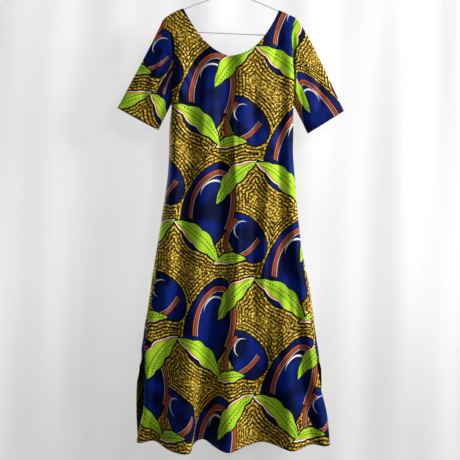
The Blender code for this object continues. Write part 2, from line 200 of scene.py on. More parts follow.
# Soft creases, each from one point to another on the panel, hollow where the push is below nothing
FRONT_CREASES = table(
    Crease,
    (-150, -215, -96, -330, 9, -3.4, 8),
    (-164, -300, -112, -392, 8, 2.8, -6),
    (-170, -352, -120, -470, 10, -3.8, 10),
    (140, -205, 108, -322, 9, -3.2, -8),
    (158, -318, 118, -420, 8, 2.8, 6),
    (168, -372, 122, -492, 10, -3.4, -10),
    (-72, -330, -84, -560, 12, 3.0, 6),
    (-36, -350, -18, -800, 11, -4.4, 5),
    (-4, -360, 26, -800, 10, 3.6, 5),
    (58, -330, 62, -560, 13, -3.4, -6),
    (-168, -520, -70, -596, 11, -2.6, 12),
    (-150, -596, -60, -650, 10, 2.2, -8),
    (164, -560, 84, -622, 10, -2.6, -10),
    (150, -650, 70, -706, 12, 2.0, 10),
    (-112, -540, -142, -1020, 12, -4.2, 7),
    (-152, -620, -178, -1040, 11, 3.4, 6),
    (84, -560, 62, -1160, 12, -4.4, 7),
    (108, -600, 90, -1150, 11, 3.6, 5),
    (136, -470, 132, -1100, 11, -4.2, -6),
    (-56, -780, -78, -1230, 12, 3.8, 5),
    (-22, -770, -26, -1180, 11, -4.6, -4),
    (24, -770, 4, -1200, 11, 4.0, 4),
    (-196, -960, -190, -1160, 11, 3.4, -6),
    (168, -900, 186, -1210, 11, 3.4, -6),
    (118, -1060, 140, -1300, 12, 3.6, 8),
    (28, -1160, 44, -1410, 12, -5.2, 6),
    (-30, -1140, -64, -1400, 12, -5.0, 5),
    (-208, -1220, -236, -1400, 10, 3.4, 4),
    (206, -1130, 214, -1330, 10, -3.4, -6),
)
BACK_CREASES = table(
    Crease,
    (-146, -210, -90, -330, 10, -3.4, 8),
    (-160, -330, -96, -430, 9, 2.8, -8),
    (140, -210, 92, -330, 10, -3.4, -8),
    (160, -340, 100, -440, 9, 2.8, 8),
    (-34, -330, -40, -620, 13, 3.4, 6),
    (0, -340, 12, -740, 12, -4.0, -5),
    (54, -360, 44, -700, 12, 3.4, 6),
    (-160, -530, -50, -590, 11, -2.6, 10),
    (150, -560, 50, -630, 11, -2.6, -10),
    (-110, -660, -20, -690, 12, 2.2, 8),
    (-132, -560, -150, -1000, 12, -4.2, 8),
    (-90, -640, -110, -1080, 12, 3.8, -6),
    (120, -600, 134, -1130, 12, -4.4, 8),
    (84, -680, 92, -1150, 11, 3.8, -6),
    (26, -740, 40, -1180, 12, -4.4, -8),
    (-12, -780, -10, -1200, 12, 3.8, 6),
    (-130, -1000, -150, -1230, 13, 3.6, -8),
    (-40, -1080, -56, -1390, 13, -5.0, 6),
    (60, -1160, 66, -1400, 12, 4.4, 6),
    (-216, -1160, -236, -1380, 11, -3.4, -6),
    (196, -1130, 216, -1360, 11, 3.4, 6),
)
# Soft creases of a sleeve: millimetres round from the underarm by way of the back, and down from the armhole
SLEEVE_CREASES = table(
    Crease,
    (18, 20, 62, 96, 9, -2.6, 6),
    (124, 24, 84, 116, 9, 3.0, -6),
    (30, 90, 92, 150, 10, -2.8, 6),
    (262, 16, 212, 88, 9, -3.0, -6),
    (160, 26, 200, 120, 9, 3.2, 6),
    (168, 96, 222, 166, 10, -3.4, -6),
    (256, 92, 196, 176, 9, 2.6, 5),
    (236, 24, 248, 150, 9, -2.6, 6),
    (66, 30, 54, 150, 9, -2.6, -6),
)
SLEEVE_ROUND = 280.0
SLEEVE_LENGTH = 200.0
ALLOWANCE = 8.0
ARMHOLE_DIP = 19.0
DIP_FROM_SEAM = 5.5
DIP_WIDTH = 5.2
SLEEVE_CROWDING = 0.6
CREASE_DEPTH = 1.8
CREASE_FADE = 0.7
WAVER = 1.5
SLEEVE_CLEARANCE = 0.3
BESIDE_LIFT = 1.15
TIP_LIFT = 0.35
CREASE_START = 0.12
SLEEVE_RIPPLE_SIZE = 40
RIPPLE = 1.2
RIPPLE_SIZE = 42.0

Sleeve = namedtuple("Sleeve", "side outer inner cap_bulge")
# Outer and inner corners of each cuff, and how far the cap swells past the line from tip to cuff
SLEEVES = table(
    Sleeve,
    ("left", (-337.8, -438.7), (-217.7, -503.6), -3.0),
    ("right", (329.5, -447.6), (223.6, -513.9), 7.5),
)
CUFF_DEPTH = 14.0
CUFF_POWER = 0.8

# How finely the cloth is divided
SIDE_COLUMNS = 20
STRAP_COLUMNS = 20
NECK_COLUMNS = 96
FIRST_NECK = SIDE_COLUMNS + STRAP_COLUMNS
NECK = slice(FIRST_NECK, FIRST_NECK + NECK_COLUMNS + 1)
NECK_CROWDING = 0.85
NECK_BLEND = NECK_COLUMNS / 6
FOLD_MARGIN = SIDE_COLUMNS * 1.3
SKIRT_ROWS = (
    0, 34, 74, 124, 174, 224, 266, 319, 374, 434, 499, 564, 629, 694, 759, 824, 884, 944, 994,
)
ARMHOLE_ROWS = (8, 26, 51, 82, 115, 151, 187, 215, 233, 243, 247.5, 249.8, 250.95, 251.2)
SKIRT_FINENESS = 7
ARMHOLE_FINENESS = 4
SLEEVE_STEPS = 64

# Hook and ends of the wire
HOOK_ANGLES = (196, -52, -14)
TWIST_STEPS = 54
WIRE_SIDES = 10
LEFT_ARM = (-110, -136, -144, -156, -168, -180, -191)
RIGHT_ARM = (105, 131, 139, 149, 158, 168, 178)
LEFT_END = ((-199.5, -186.0), (-199.0, -199.0), (-191.0, -208.5), (-180.0, -211.6), (-176.0, -211.9))
RIGHT_END = ((187.0, -187.0), (189.0, -204.0), (184.5, -219.0), (175.0, -226.6), (171.0, -227.3))

Pod = namedtuple("Pod", "across up turn half_width half_height taper")
Leaf = namedtuple("Leaf", "across up turn half_width half_length bend lobes")
Ribbon = namedtuple("Ribbon", "across up turn half_width half_height half_band cut")
# The figures of one repeat of the print, in metres from its middle
PODS = table(
    Pod,
    (-0.035, 0.012, -22, 0.080, 0.136, 0.14),
    (0.090, -0.080, 38, 0.053, 0.084, 0.1),
)
LEAVES = table(
    Leaf,
    (-0.080, -0.094, 52, 0.030, 0.102, 0.020, 0.2),
    (0.058, 0.078, -46, 0.029, 0.096, -0.020, 0.2),
    (0.036, -0.152, 98, 0.019, 0.060, 0.011, 0.16),
)
RIBBONS = table(
    Ribbon,
    (-0.022, 0.0, -16, 0.066, 0.112, 0.0098, -0.045),
    (0.084, -0.070, 140, 0.046, 0.078, 0.0086, -0.02),
)
DISTANCES = ("Pod", "Leaf", "Ribbon")
MASKS = ("Crescent", "Leaf marks", "Leaf light", "Leaf trim", "Rope", "Orange", "White")
# Painted shade: the wrong side's print is darkened to this share
WRONG_SIDE_PAINTED_SHADE = 0.45
EDGE_SOFTNESS = 0.0004
OUTLINE = 0.0032
LIGHT_LINE = 0.0032
DOT_STEP = 0.0092
DOT_RADIUS = 0.0021
VEIN_RADIUS = 0.0009
LEAF_MARGIN = 0.005
RIBBON_MARGIN = 0.0022
LOBE_BEAT = 1.9 * math.pi
ROPE_TWIST = 500.0
# Echo lines fade between two distances, and are half as wide as these shares of their spacing
ECHO_FADE = (0.034, 0.062)
ECHO_WIDTH = 0.18
HEAVY_WIDTH = 0.06
HEAVY_SIZE = 0.07
SHAKE_SIZE = 0.02
BEND_SIZE = 1 / 60
VEIN_BEND = (0.012, 0.012, 0.0)
GRAIN_SIZE = 0.0068
SPECK_SIZE = 0.005
BLOTCH_SIZE = 0.09
SHADE_SIZE = 0.05
WRINKLE_SIZE = 0.028
PANEL_PRINT_SHIFT = {"front": (0.045, 0.06), "back": (0.115, 0.2)}
SLEEVE_PRINT_SHIFT = {"left": (0.04, 0.02), "right": (0.15, 0.13)}
DYES = (
    "Gold", "Deep gold", "Pale gold", "Line", "Navy", "Royal blue", "Lime", "Leaf green", "Orange",
    "Rust", "White",
)

Lamp = namedtuple("Lamp", "name seat aim size colour")
STAGE_LIGHTS = table(
    Lamp,
    ("key", (1.35, -2.6, 0.6), (0.0, 0.0, -0.6), 0.9, (1.0, 0.98, 0.95)),
    ("side", (2.9, -1.2, 0.4), (0.0, 0.0, -0.6), 1.0, (1.0, 0.98, 0.95)),
    ("fill", (-1.8, -2.2, -0.3), (0.0, 0.0, -0.8), 1.8, (0.94, 0.97, 1.0)),
    ("rear", (-2.2, 2.1, 0.6), (0.0, 0.0, -0.7), 1.0, (1.0, 1.0, 1.0)),
)
SKY_COLOUR = (0.93, 0.96, 1.0, 1.0)
# Colours of the backdrop's painted glow, lit and where painted shade dims it
PAINTED_GLOW = (0.97, 0.975, 1.0, 1.0)
PAINTED_GLOW_SHADED = (0.76, 0.76, 0.75, 1.0)
BACKDROP_ACROSS = np.linspace(-1.7, 1.7, 121)
BACKDROP_UP = np.linspace(-2.2, 0.6, 61)

# The camera stands where the photo was taken
VIEW_CENTRE = (-0.0059, -0.7986)
VIEW_DISTANCE = 2.3
VIEW_WIDTH = 1.357
SENSOR = 36.0


def clamp(value, low=0.0, high=1.0):
    return np.clip(value, low, high)


def lerp(a, b, share):
    return a + (b - a) * share


def eased(share):
    share = clamp(share)
    return share * share * (3 - 2 * share)


def read_table(rows, column, at):
    """A smooth curve through one column of a table whose first column rises or falls steadily."""
    rows = sorted(rows)
    keys = np.array([row[0] for row in rows], float)
    values = np.array([getattr(row, column) for row in rows], float)
    rise = np.diff(values) / np.diff(keys)
    slope = np.zeros(len(keys))
    steady = rise[:-1] * rise[1:] > 0
    slope[1:-1][steady] = 2 * rise[:-1][steady] * rise[1:][steady] / (rise[:-1] + rise[1:])[steady]
    at = clamp(np.asarray(at, float), keys[0], keys[-1])
    i = clamp(np.searchsorted(keys, at, side="right") - 1, 0, len(keys) - 2)
    span = keys[i + 1] - keys[i]
    t = (at - keys[i]) / span
    ends = values[i] * (1 + 2 * t) * (1 - t) ** 2 + values[i + 1] * t * t * (3 - 2 * t)
    return ends + span * (slope[i] * t * (1 - t) ** 2 - slope[i + 1] * t * t * (1 - t))


def shoulder_height(x):
    """Top of the cloth over the wire, carried on as the wire's own line across the neck opening."""
    x = np.asarray(x, float)
    peak = WIRE_PEAK[1] + SHOULDER_ROUND
    heights = []
    for neck, tip, (straight, bowed, power) in (
        (LEFT_NECK, LEFT_TIP, LEFT_BOW),
        (RIGHT_NECK, RIGHT_TIP, RIGHT_BOW),
    ):
        out = (x - neck[0]) / (tip[0] - neck[0])
        seam = lerp(neck[1], tip[1], straight * out + bowed * np.maximum(out, 0) ** power)
        across = lerp(peak, neck[1], (x - WIRE_PEAK[0]) / (neck[0] - WIRE_PEAK[0]))
        heights.append(np.where(out > 0, seam, across))
    return np.where(x < WIRE_PEAK[0], *heights)


def neck_height(x):
    """The scooped neckline, which meets the shoulder seams at the neck points."""
    heights = []
    for neck, power in ((LEFT_NECK, LEFT_NECK_POWER), (RIGHT_NECK, RIGHT_NECK_POWER)):
        share = clamp((x - NECK_LOW[0]) / (neck[0] - NECK_LOW[0])) ** power
        heights.append(lerp(NECK_LOW[1], neck[1], share))
    return np.where(x < NECK_LOW[0], *heights)


def fold_push(folds, x, z):
    """How far the folds move a point forward, and sideways with their crests."""
    forward = np.zeros(np.broadcast(x, z).shape)
    sideways = np.zeros_like(forward)
    upper = clamp((UNDERARM - z) / (UNDERARM - FOLD_MID), -1.0, 1.0)
    lower = clamp((FOLD_MID - z) / (FOLD_MID - HEM), 0.0, 1.1)
    fall = clamp((UNDERARM - z) / (UNDERARM - HEM))
    # A fold starts below the shoulder and grows as the cloth falls
    started = eased((shoulder_height(x) - z) / FOLD_START)
    high = z > FOLD_MID
    for fold in folds:
        centre = np.where(high, lerp(fold.top, fold.mid, upper), lerp(fold.mid, fold.hem, lower))
        upper_push = lerp(fold.push_top, fold.push_mid, upper)
        push = np.where(high, upper_push, lerp(fold.push_mid, fold.push_hem, lower**FOLD_SWELL))
        width = lerp(fold.width_top, fold.width_hem, fall)
        shape = np.exp(-(((x - centre) / width) ** 2)) * started
        forward += push * shape
        sideways += fold.lean * shape * fall**2
    return forward, sideways


def crease_push(creases, x, z):
    """How far the soft creases move a point forward. Each is bowed, uneven, and fades at both ends."""
    forward = np.zeros(np.broadcast(x, z).shape)
    for n, crease in enumerate(creases):
        along_x, along_z = crease.to_x - crease.x, crease.to_z - crease.z
        length = math.hypot(along_x, along_z)
        share = ((x - crease.x) * along_x + (z - crease.z) * along_z) / length**2
        beside = ((x - crease.x) * along_z - (z - crease.z) * along_x) / length
        bowed = beside - crease.bow * np.sin(math.pi * clamp(share)) - WAVER * np.sin(9 * share + n)
        fade = np.sin(math.pi * clamp(share)) ** CREASE_FADE
        width = crease.width * (1 + 0.25 * np.sin(5 * share + 2 * n))
        forward += CREASE_DEPTH * crease.push * fade * np.exp(-((bowed / width) ** 2))
    return forward


def refine(stops, fineness):
    """The same stops with more between them."""
    steps = np.arange((len(stops) - 1) * fineness + 1) / fineness
    return np.interp(steps, np.arange(len(stops)), stops)


def uneven(across, up, layer):
    """Smooth noise at each point, between minus one and one."""
    spots = zip(np.ravel(across), np.ravel(up))
    return np.array([noise.noise((a, b, layer)) for a, b in spots]).reshape(np.shape(across))


class Panel:
    """The front or the back: a sheet that spans hem, side seams, armholes, shoulders and neckline."""

    def __init__(self, name, towards, folds, creases):
        self.name = name
        self.towards = towards
        self.folds = folds
        self.creases = creases
        skirt = HEM + refine(SKIRT_ROWS, SKIRT_FINENESS)
        armhole = UNDERARM + refine((0,) + ARMHOLE_ROWS, ARMHOLE_FINENESS)[1:]
        self.underarm_row = len(skirt) - 1
        self.shares = (np.concatenate([skirt, armhole]) - HEM) / (LEFT_TIP[1] - HEM)
        self.stretches = (
            ("left", SIDE_COLUMNS),
            ("left_strap", STRAP_COLUMNS),
            ("neck", NECK_COLUMNS),
            ("right_strap", STRAP_COLUMNS),
            ("right", SIDE_COLUMNS),
        )
        self.columns = sum(count for _, count in self.stretches)
        self.rows = len(self.shares) - 1
        self.points = self.lay_points()

    def edge_height(self, side, r):
        """Height of the panel's edge: hem, slit top and underarm are level, and the tips are not."""
        tip = TIPS[side][1]
        z = lerp(HEM, LEFT_TIP[1], r)
        raised = lerp(UNDERARM, tip, (z - UNDERARM) / (LEFT_TIP[1] - UNDERARM))
        return np.where(z <= UNDERARM, z, raised)

    def edge(self, side, z):
        """Where the panel's edge is, and the angle it has reached round its side, in radians."""
        tip, outward = TIPS[side], OUTWARD[side]
        # The seam stands a little wider at both ends, where the cloth turns away from it
        ends = np.exp(-(((z - UNDERARM) / UNDERARM_SPREAD) ** 2))
        ends = ends + np.exp(-(((z - SLIT_TOP) / SLIT_SPREAD) ** 2))
        side_round = read_table(DEPTHS, "side_round", z)
        gap = SEAM_GAP / 2 * (1 + 2 * ends) / side_round
        share = clamp((z - UNDERARM) / (tip[1] - UNDERARM))
        straight = lerp(getattr(SIDES[0], side), tip[0], share)
        armhole_x = straight - outward * read_table(ARMHOLE, side + "_in", share)
        rise = 1 - clamp((z - UNDERARM) / ARMHOLE_ROUND)
        armhole_turn = gap + np.arcsin(ARMHOLE_DEPTH * (1 - rise * rise))
        x = read_table(SIDES, side, z)
        wrap = read_table(SIDES, side + "_wrap", z)
        turn = np.arccos(clamp(1 - wrap / side_round, -1))
        if self.towards < 0:
            return np.where(z >= UNDERARM, armhole_x, x), np.where(z >= UNDERARM, armhole_turn, turn + gap)
        # Below the slit the back swings free of the front
        free = eased((SLIT_TOP - z) / (SLIT_TOP - BACK_SLIT[0].height))
        own_x = read_table(BACK_SLIT, side, z)
        own_turn = np.radians(read_table(BACK_SLIT, side + "_turn", z))
        side_x, side_turn = lerp(x, own_x, free), lerp(gap - turn, own_turn, free)
        return np.where(z >= UNDERARM, armhole_x, side_x), np.where(z >= UNDERARM, armhole_turn, side_turn)

    def side_edges(self, r):
        """For each side: which way is out, the edge, its turn, and how wide the side rounds over."""
        edges = {}
        for side, outward in OUTWARD.items():
            z = self.edge_height(side, r)
            edges[side] = (outward, *self.edge(side, z), read_table(DEPTHS, "side_round", z))
        return edges

    def flat_ends(self, r):
        """Where the rounded sides meet the flatter middle of the panel, left and right."""
        return [
            x - outward * side_round * np.cos(turn)
            for outward, x, turn, side_round in self.side_edges(r).values()
        ]

    def across(self, stretch, share, r):
        """x of a point on this row, and the sine of the angle that it has turned from the side."""
        if stretch in ("left", "right"):
            outward, x, turn, side_round = self.side_edges(r)[stretch]
            angle = lerp(turn, math.pi / 2, share if stretch == "left" else 1 - share)
            return x - outward * side_round * (np.cos(turn) - np.cos(angle)), np.sin(angle)
        left, right = self.flat_ends(r)
        top_left, top_right = self.flat_ends(1.0)
        underarm = self.shares[self.underarm_row]
        under_left, under_right = self.flat_ends(np.minimum(r, underarm))
        # The columns from the neck points hang straight, then spread with the skirt
        below_neck = clamp((1 - r) / (1 - underarm)) ** 2
        necks = []
        for neck_x in (LEFT_NECK[0], RIGHT_NECK[0]):
            part = (neck_x - top_left) / (top_right - top_left)
            necks.append(lerp(neck_x, lerp(under_left, under_right, part), below_neck))
        if stretch == "left_strap":
            return lerp(left, necks[0], share), np.ones_like(r)
        if stretch == "right_strap":
            return lerp(necks[1], right, share), np.ones_like(r)
        # Closest together at the neck points, where the neckline turns over the wire
        crowded = lerp(share, 0.5 - 0.5 * math.cos(math.pi * share), NECK_CROWDING)
        return lerp(*necks, lerp(crowded, share, below_neck)), np.ones_like(r)

    def row_shares(self, column):
        """Each row's share of the way up: crowded over the shoulders, and even below the neckline."""
        from_neck = min(column - FIRST_NECK, self.columns - FIRST_NECK - column)
        start = self.underarm_row
        even = self.shares.copy()
        even[start:] = np.linspace(self.shares[start], 1.0, self.rows + 1 - start)
        return lerp(self.shares, even, eased(from_neck / NECK_BLEND))

    def depth(self, x, z, sine):
        """How far the cloth stands from the hanger's plane, before its folds."""
        front = read_table(DEPTHS, "front", z)
        back = read_table(DEPTHS, "back", z)
        full = np.where((sine < 0) | (self.towards < 0), front, back)
        below = np.maximum(0.0, shoulder_height(x) - z)
        over_wire = clamp(below / SHOULDER_ROUND)
        near = SHOULDER_ROUND * np.sqrt(1 - (1 - over_wire) ** 2)
        far = (full - SHOULDER_ROUND) * (1 - np.exp(-below / SHOULDER_SPREAD))
        return (near + far) * sine

    def lay_points(self):
        """The middle of the cloth: an array of columns by rows of x, y and z."""
        points = np.zeros((self.columns + 1, self.rows + 1, 3))
        column = 0
        places = [(name, n / count) for name, count in self.stretches for n in range(count)]
        for stretch, stretch_share in places + [("right", 1.0)]:
            r = self.row_shares(column)
            share = column / self.columns
            inside = eased(column / FOLD_MARGIN) * eased((self.columns - column) / FOLD_MARGIN)
            x, sine = self.across(stretch, stretch_share, r)
            top_x = x[-1]
            top = neck_height(top_x) if LEFT_NECK[0] < top_x < RIGHT_NECK[0] else shoulder_height(top_x)
            hem_forward = fold_push(self.folds, x[:1], np.array([HEM]))[0][0]
            bottom = HEM - HEM_TILT * x[0] - HEM_FOLLOWS_FOLD * hem_forward * inside
            z = lerp(bottom, top, r)
            for side, weight in (("left", 1 - share), ("right", share)):
                z = z + weight * (self.edge_height(side, r) - lerp(HEM, TIPS[side][1], r))
            forward, sideways = fold_push(self.folds, x, z)
            creased = crease_push(self.creases, x, z) + self.ripple(x, z)
            y = self.depth(x, z, sine) + (forward + creased) * inside
            y[-1] = max(y[-1], 0.8 * SEAM_GAP)
            points[column] = np.stack([x + sideways * inside, self.towards * y, z], axis=1)
            column += 1
        return points

    def ripple(self, x, z):
        """The cloth's slight unevenness, which fades towards the shoulders."""
        fade = eased((shoulder_height(x) - z) / FOLD_FADE)
        return RIPPLE * fade * uneven(x / RIPPLE_SIZE, z / (2.2 * RIPPLE_SIZE), 7.3 * self.towards)

    def print_places(self):
        """Where each point lies on the flat cloth, in metres: across from the middle, and up."""
        x, y, z = np.moveaxis(self.points, 2, 0)
        across = np.hypot(np.diff(x, axis=0), np.diff(y, axis=0))
        run = np.concatenate([np.zeros((1, x.shape[1])), np.cumsum(across, axis=0)])
        middle = self.columns // 2
        return np.stack([(run - run[middle] + x[middle]) * MM, z * MM], axis=2)

    def armhole_edge(self, side):
        """The armhole's points, from the underarm up to the shoulder tip."""
        return self.points[0 if side == "left" else -1, self.underarm_row :]


def run_along(points, axis=0):
    """How far each point lies along its line, or along its row or column of the cloth."""
    steps = np.linalg.norm(np.diff(points, axis=axis), axis=-1)
    start = np.zeros_like(points[..., 0]).take([0], axis=axis)
    return np.concatenate([start, np.cumsum(steps, axis=axis)], axis=axis)


def seat_on(run, at):
    """The step of a run that a distance falls in, and its share of that step."""
    n = int(clamp(np.searchsorted(run, at), 1, len(run) - 1))
    return n, (at - run[n - 1]) / max(run[n] - run[n - 1], 0.001)


def turned_edges(panel, sizes):
    """Where a panel's cloth is double: along its hem, its neckline and its slits."""
    across, up = (run_along(panel.points, axis) * MM for axis in (0, 1))
    turned = up < sizes.hem_stitch
    turned[NECK] |= up[NECK, -1:] - up[NECK] < sizes.neck_stitch
    below = panel.points[..., 2] < SLIT_TOP
    edge = np.minimum(across, across[-1] - across)
    return turned | (below & (edge < sizes.slit_stitch))


def laid_mesh(name, points, places=None, turned=None, closed=False, capped=False):
    """A grid laid on its points. Cloth gets its print's places as UV map, and weights where it is double."""
    columns, rows = points.shape[0] - 1, points.shape[1] - 1
    shape = bmesh.new()
    bmesh.ops.create_grid(shape, x_segments=columns, y_segments=rows, size=1.0)
    if places is not None:
        print_map = shape.loops.layers.uv.new("print")
        double = shape.verts.layers.deform.new()
    seats = {}
    for vert in shape.verts:
        seat = (round((vert.co.x + 1) / 2 * columns), round((vert.co.y + 1) / 2 * rows))
        seats[vert] = seat
        vert.co = Vector(points[seat]) * MM
    if places is not None:
        for vert, seat in seats.items():
            vert[double][0] = float(turned[seat])
        for face in shape.faces:
            for loop in face.loops:
                loop[print_map].uv = places[seats[loop.vert]]
    if closed:
        bmesh.ops.remove_doubles(shape, verts=shape.verts, dist=0.02 * MM)
    if capped:
        bmesh.ops.holes_fill(shape, edges=shape.edges, sides=WIRE_SIDES)
    bmesh.ops.recalc_face_normals(shape, faces=shape.faces)
    return smooth_mesh(name, shape)


def smooth_mesh(name, shape):
    """The shape as a mesh that is shaded smooth."""
    mesh = bpy.data.meshes.new(name)
    shape.to_mesh(mesh)
    shape.free()
    mesh.shade_smooth()
    return mesh


def cloth_area(points):
    """Area of the cloth between its points, in square metres."""
    a, b, c, d = points[:-1, :-1], points[1:, :-1], points[1:, 1:], points[:-1, 1:]
    cross = np.cross(c - a, d - b)
    return float(np.linalg.norm(cross, axis=2).sum() / 2) * MM * MM


def face_out(mesh, away):
    """The faces are turned to look away from the hanger."""
    if sum(face.normal.dot(away) for face in mesh.polygons) < 0:
        mesh.flip_normals()


def add_object(name, data):
    made = bpy.data.objects.new(name, data)
    bpy.context.scene.collection.objects.link(made)
    return made


def add_piece(name, mesh, material):
    """A piece of the object, which rides on the one body."""
    mesh.materials.append(material)
    piece = add_object(name, mesh)
    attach(piece, BODY)
    return piece


def add_cloth(name, mesh):
    """A piece of the dress: printed outside, darker inside with painted shade, and twice as thick where its
    edges are turned.
    """
    piece = add_piece(name + "_cloth", mesh, printed_cotton("Printed cotton", 1.0))
    mesh.materials.append(printed_cotton("Printed cotton, wrong side", WRONG_SIDE_PAINTED_SHADE))
    wall = piece.modifiers.new("Cloth", "SOLIDIFY")
    wall.vertex_group = piece.vertex_groups.new(name="turned edges").name
    wall.thickness = 2 * bpy.context.scene.dress_sizes.cloth
    wall.thickness_vertex_group = 0.5
    wall.offset = 0.0
    wall.material_offset = 1
    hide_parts(name)
    return piece


class Signal:
    """What a node gives. Arithmetic with it adds the nodes that work it out."""

    def __init__(self, wiring, socket):
        self.math = wiring.math
        self.socket = socket

    def __add__(self, other):
        return self.math("ADD", self, other)

    def __sub__(self, other):
        return self.math("SUBTRACT", self, other)

    def __rsub__(self, other):
        return self.math("SUBTRACT", other, self)

    def __mul__(self, other):
        return self.math("MULTIPLY", self, other)

    def __truediv__(self, other):
        return self.math("DIVIDE", self, other)

    def __rtruediv__(self, other):
        return self.math("DIVIDE", other, self)

    def __abs__(self):
        return self.math("ABSOLUTE", self)

    __radd__ = __add__
    __rmul__ = __mul__


class Wiring:
    """Nodes added to one tree, each fed by signals, sockets or plain values."""

    def __init__(self, tree):
        self.tree = tree

    def feed(self, socket, source):
        source = getattr(source, "socket", source)
        if isinstance(source, bpy.types.NodeSocket):
            self.tree.links.new(source, socket)
        else:
            socket.default_value = source

    def node(self, kind, sources=(), **settings):
        """What a new node gives, by number and by name. Its sources are given the same way."""
        made = self.tree.nodes.new(kind)
        for name, value in settings.items():
            setattr(made, name, value)
        for name, source in dict(sources).items():
            self.feed(made.inputs[name], source)
        signals = [Signal(self, socket) for socket in made.outputs]
        return dict(enumerate(signals)) | {signal.socket.name: signal for signal in signals}

    def use(self, group, *sources):
        return self.node("ShaderNodeGroup", enumerate(sources), node_tree=group)

    def math(self, operation, *sources):
        return self.node("ShaderNodeMath", enumerate(sources), operation=operation)[0]

    def sine(self, turn):
        return self.math("SINE", turn)

    def least(self, *values):
        return functools.reduce(functools.partial(self.math, "MINIMUM"), values)

    def most(self, *values):
        return functools.reduce(functools.partial(self.math, "MAXIMUM"), values)

    def length(self, across, up):
        return self.math("SQRT", across * across + up * up)

    def stretched(self, place, by):
        return self.node("ShaderNodeVectorMath", {0: place, 1: by}, operation="MULTIPLY")[0]

    def fade(self, value, start, end):
        """Nothing at the start and one at the end, eased between."""
        sources = {"Value": value, "From Min": start, "From Max": end}
        return self.node("ShaderNodeMapRange", sources, interpolation_type="SMOOTHSTEP")["Result"]

    def inside(self, distance):
        return self.fade(distance, EDGE_SOFTNESS, -EDGE_SOFTNESS)

    def between(self, value, low, high):
        return self.inside(low - value) * self.inside(value - high)

    def noise(self, place, size, detail=2.0, output="Fac"):
        sources = {"Vector": place, "Scale": 1 / size, "Detail": detail}
        return self.node("ShaderNodeTexNoise", sources, noise_dimensions="3D")[output]

    def mix(self, share, under, over):
        return self.node("ShaderNodeMix", {0: share, 6: under, 7: over}, data_type="RGBA")[2]

    def split(self, place):
        """Across, depth and up; or, for the print's places, across and up."""
        parts = self.node("ShaderNodeSeparateXYZ", {0: place})
        return parts["X"], parts["Y"], parts["Z"]

    def bump(self, shader, height, strength, distance):
        sources = {"Height": height, "Strength": strength, "Distance": distance}
        self.feed(shader.inputs["Normal"], self.node("ShaderNodeBump", sources)["Normal"])

    def figure(self, group, across, up, row, *sizes):
        """A point as seen by a figure that is moved and turned, and what the figure's group gives there."""
        cosine, sine = math.cos(math.radians(row.turn)), math.sin(math.radians(row.turn))
        x, y = across - row.across, up - row.up
        x, y = x * cosine + y * sine, y * cosine - x * sine
        return x, y, self.use(group, x, y, *sizes)


def node_group(name, inputs, outputs):
    """Turns a drawing function into one that gives its node group, which is drawn once.

    An input is named with its number, or with the kind of its socket.
    """

    def give(draw):
        @functools.wraps(draw)
        def group():
            if name in bpy.data.node_groups:
                return bpy.data.node_groups[name]
            tree = bpy.data.node_groups.new(name, "ShaderNodeTree")
            for label, value in inputs.items():
                kind = value if isinstance(value, str) else "Float"
                socket = tree.interface.new_socket(label, in_out="INPUT", socket_type="NodeSocket" + kind)
                if kind == "Float":
                    socket.default_value = value
            for label in outputs:
                kind = "Color" if label == "Color" else "Float"
                tree.interface.new_socket(label, in_out="OUTPUT", socket_type="NodeSocket" + kind)
            w = Wiring(tree)
            given = w.node("NodeGroupInput")
            result = tree.nodes.new("NodeGroupOutput").inputs
            for label, value in zip(outputs, draw(w, *(given[label] for label in inputs))):
                w.feed(result[label], value)
            return tree

        return group

    return give


@node_group(
    "Half-drop repeat",
    {"Place": "Vector", "Width": 0.272, "Height": 0.34, "Next across": 0.0, "Next up": 0.0},
    ("Across", "Up"),
)
def repeat_group(w, place, width, height, next_across, next_up):
    """Where a point lies in its nearest repeat of the print, or in the next one across or up."""

    def repeat(value, step):
        whole = w.math("ROUND", value)
        return whole + w.math("SIGN", value - whole) * step

    u, v, _ = w.split(place)
    u = u / width
    column = repeat(u, next_across)
    v = v / height - column * 0.5
    row = repeat(v, next_up)
    return (u - column) * width, (v - row) * height


@node_group(
    "Oval",
    {"Across": 0.0, "Up": 0.0, "Half width": 0.07, "Half height": 0.12, "Taper": 0.0},
    ("Distance",),
)
def oval_group(w, across, up, half_width, half_height, taper):
    """Distance from the edge of an oval that is fuller towards one end."""
    up = up / half_height
    across = across * (1.0 + w.most(-1.0, w.least(up, 1.0)) * taper) / half_width
    reach = w.length(across, up)
    slope = w.length(across / half_width, up / half_height)
    return ((reach - 1.0) * reach / (slope + 0.001),)


@node_group(
    "Leaf",
    {"Across": 0.0, "Up": 0.0, "Half width": 0.035, "Half length": 0.1, "Bend": 0.02, "Lobes": 0.2},
    ("Distance", "Rib"),
)
def leaf_group(w, across, up, half_width, half_length, bend, lobes):
    """Distance from the edge of a bent leaf with a pointed tip and lobed edges, and from its rib."""
    up = up / half_length
    keep = 1.0 - up * up
    rib = across - keep * bend
    lobed = 1.0 + (abs(w.sine(up * LOBE_BEAT)) - 0.5) * lobes
    return 0.9 * (abs(rib) - keep * lobed * half_width), rib


def joined(w, label, values):
    """Distances from edges are joined by the least of them, and masks by the most."""
    return w.least(*values) if label in DISTANCES else w.most(*values)


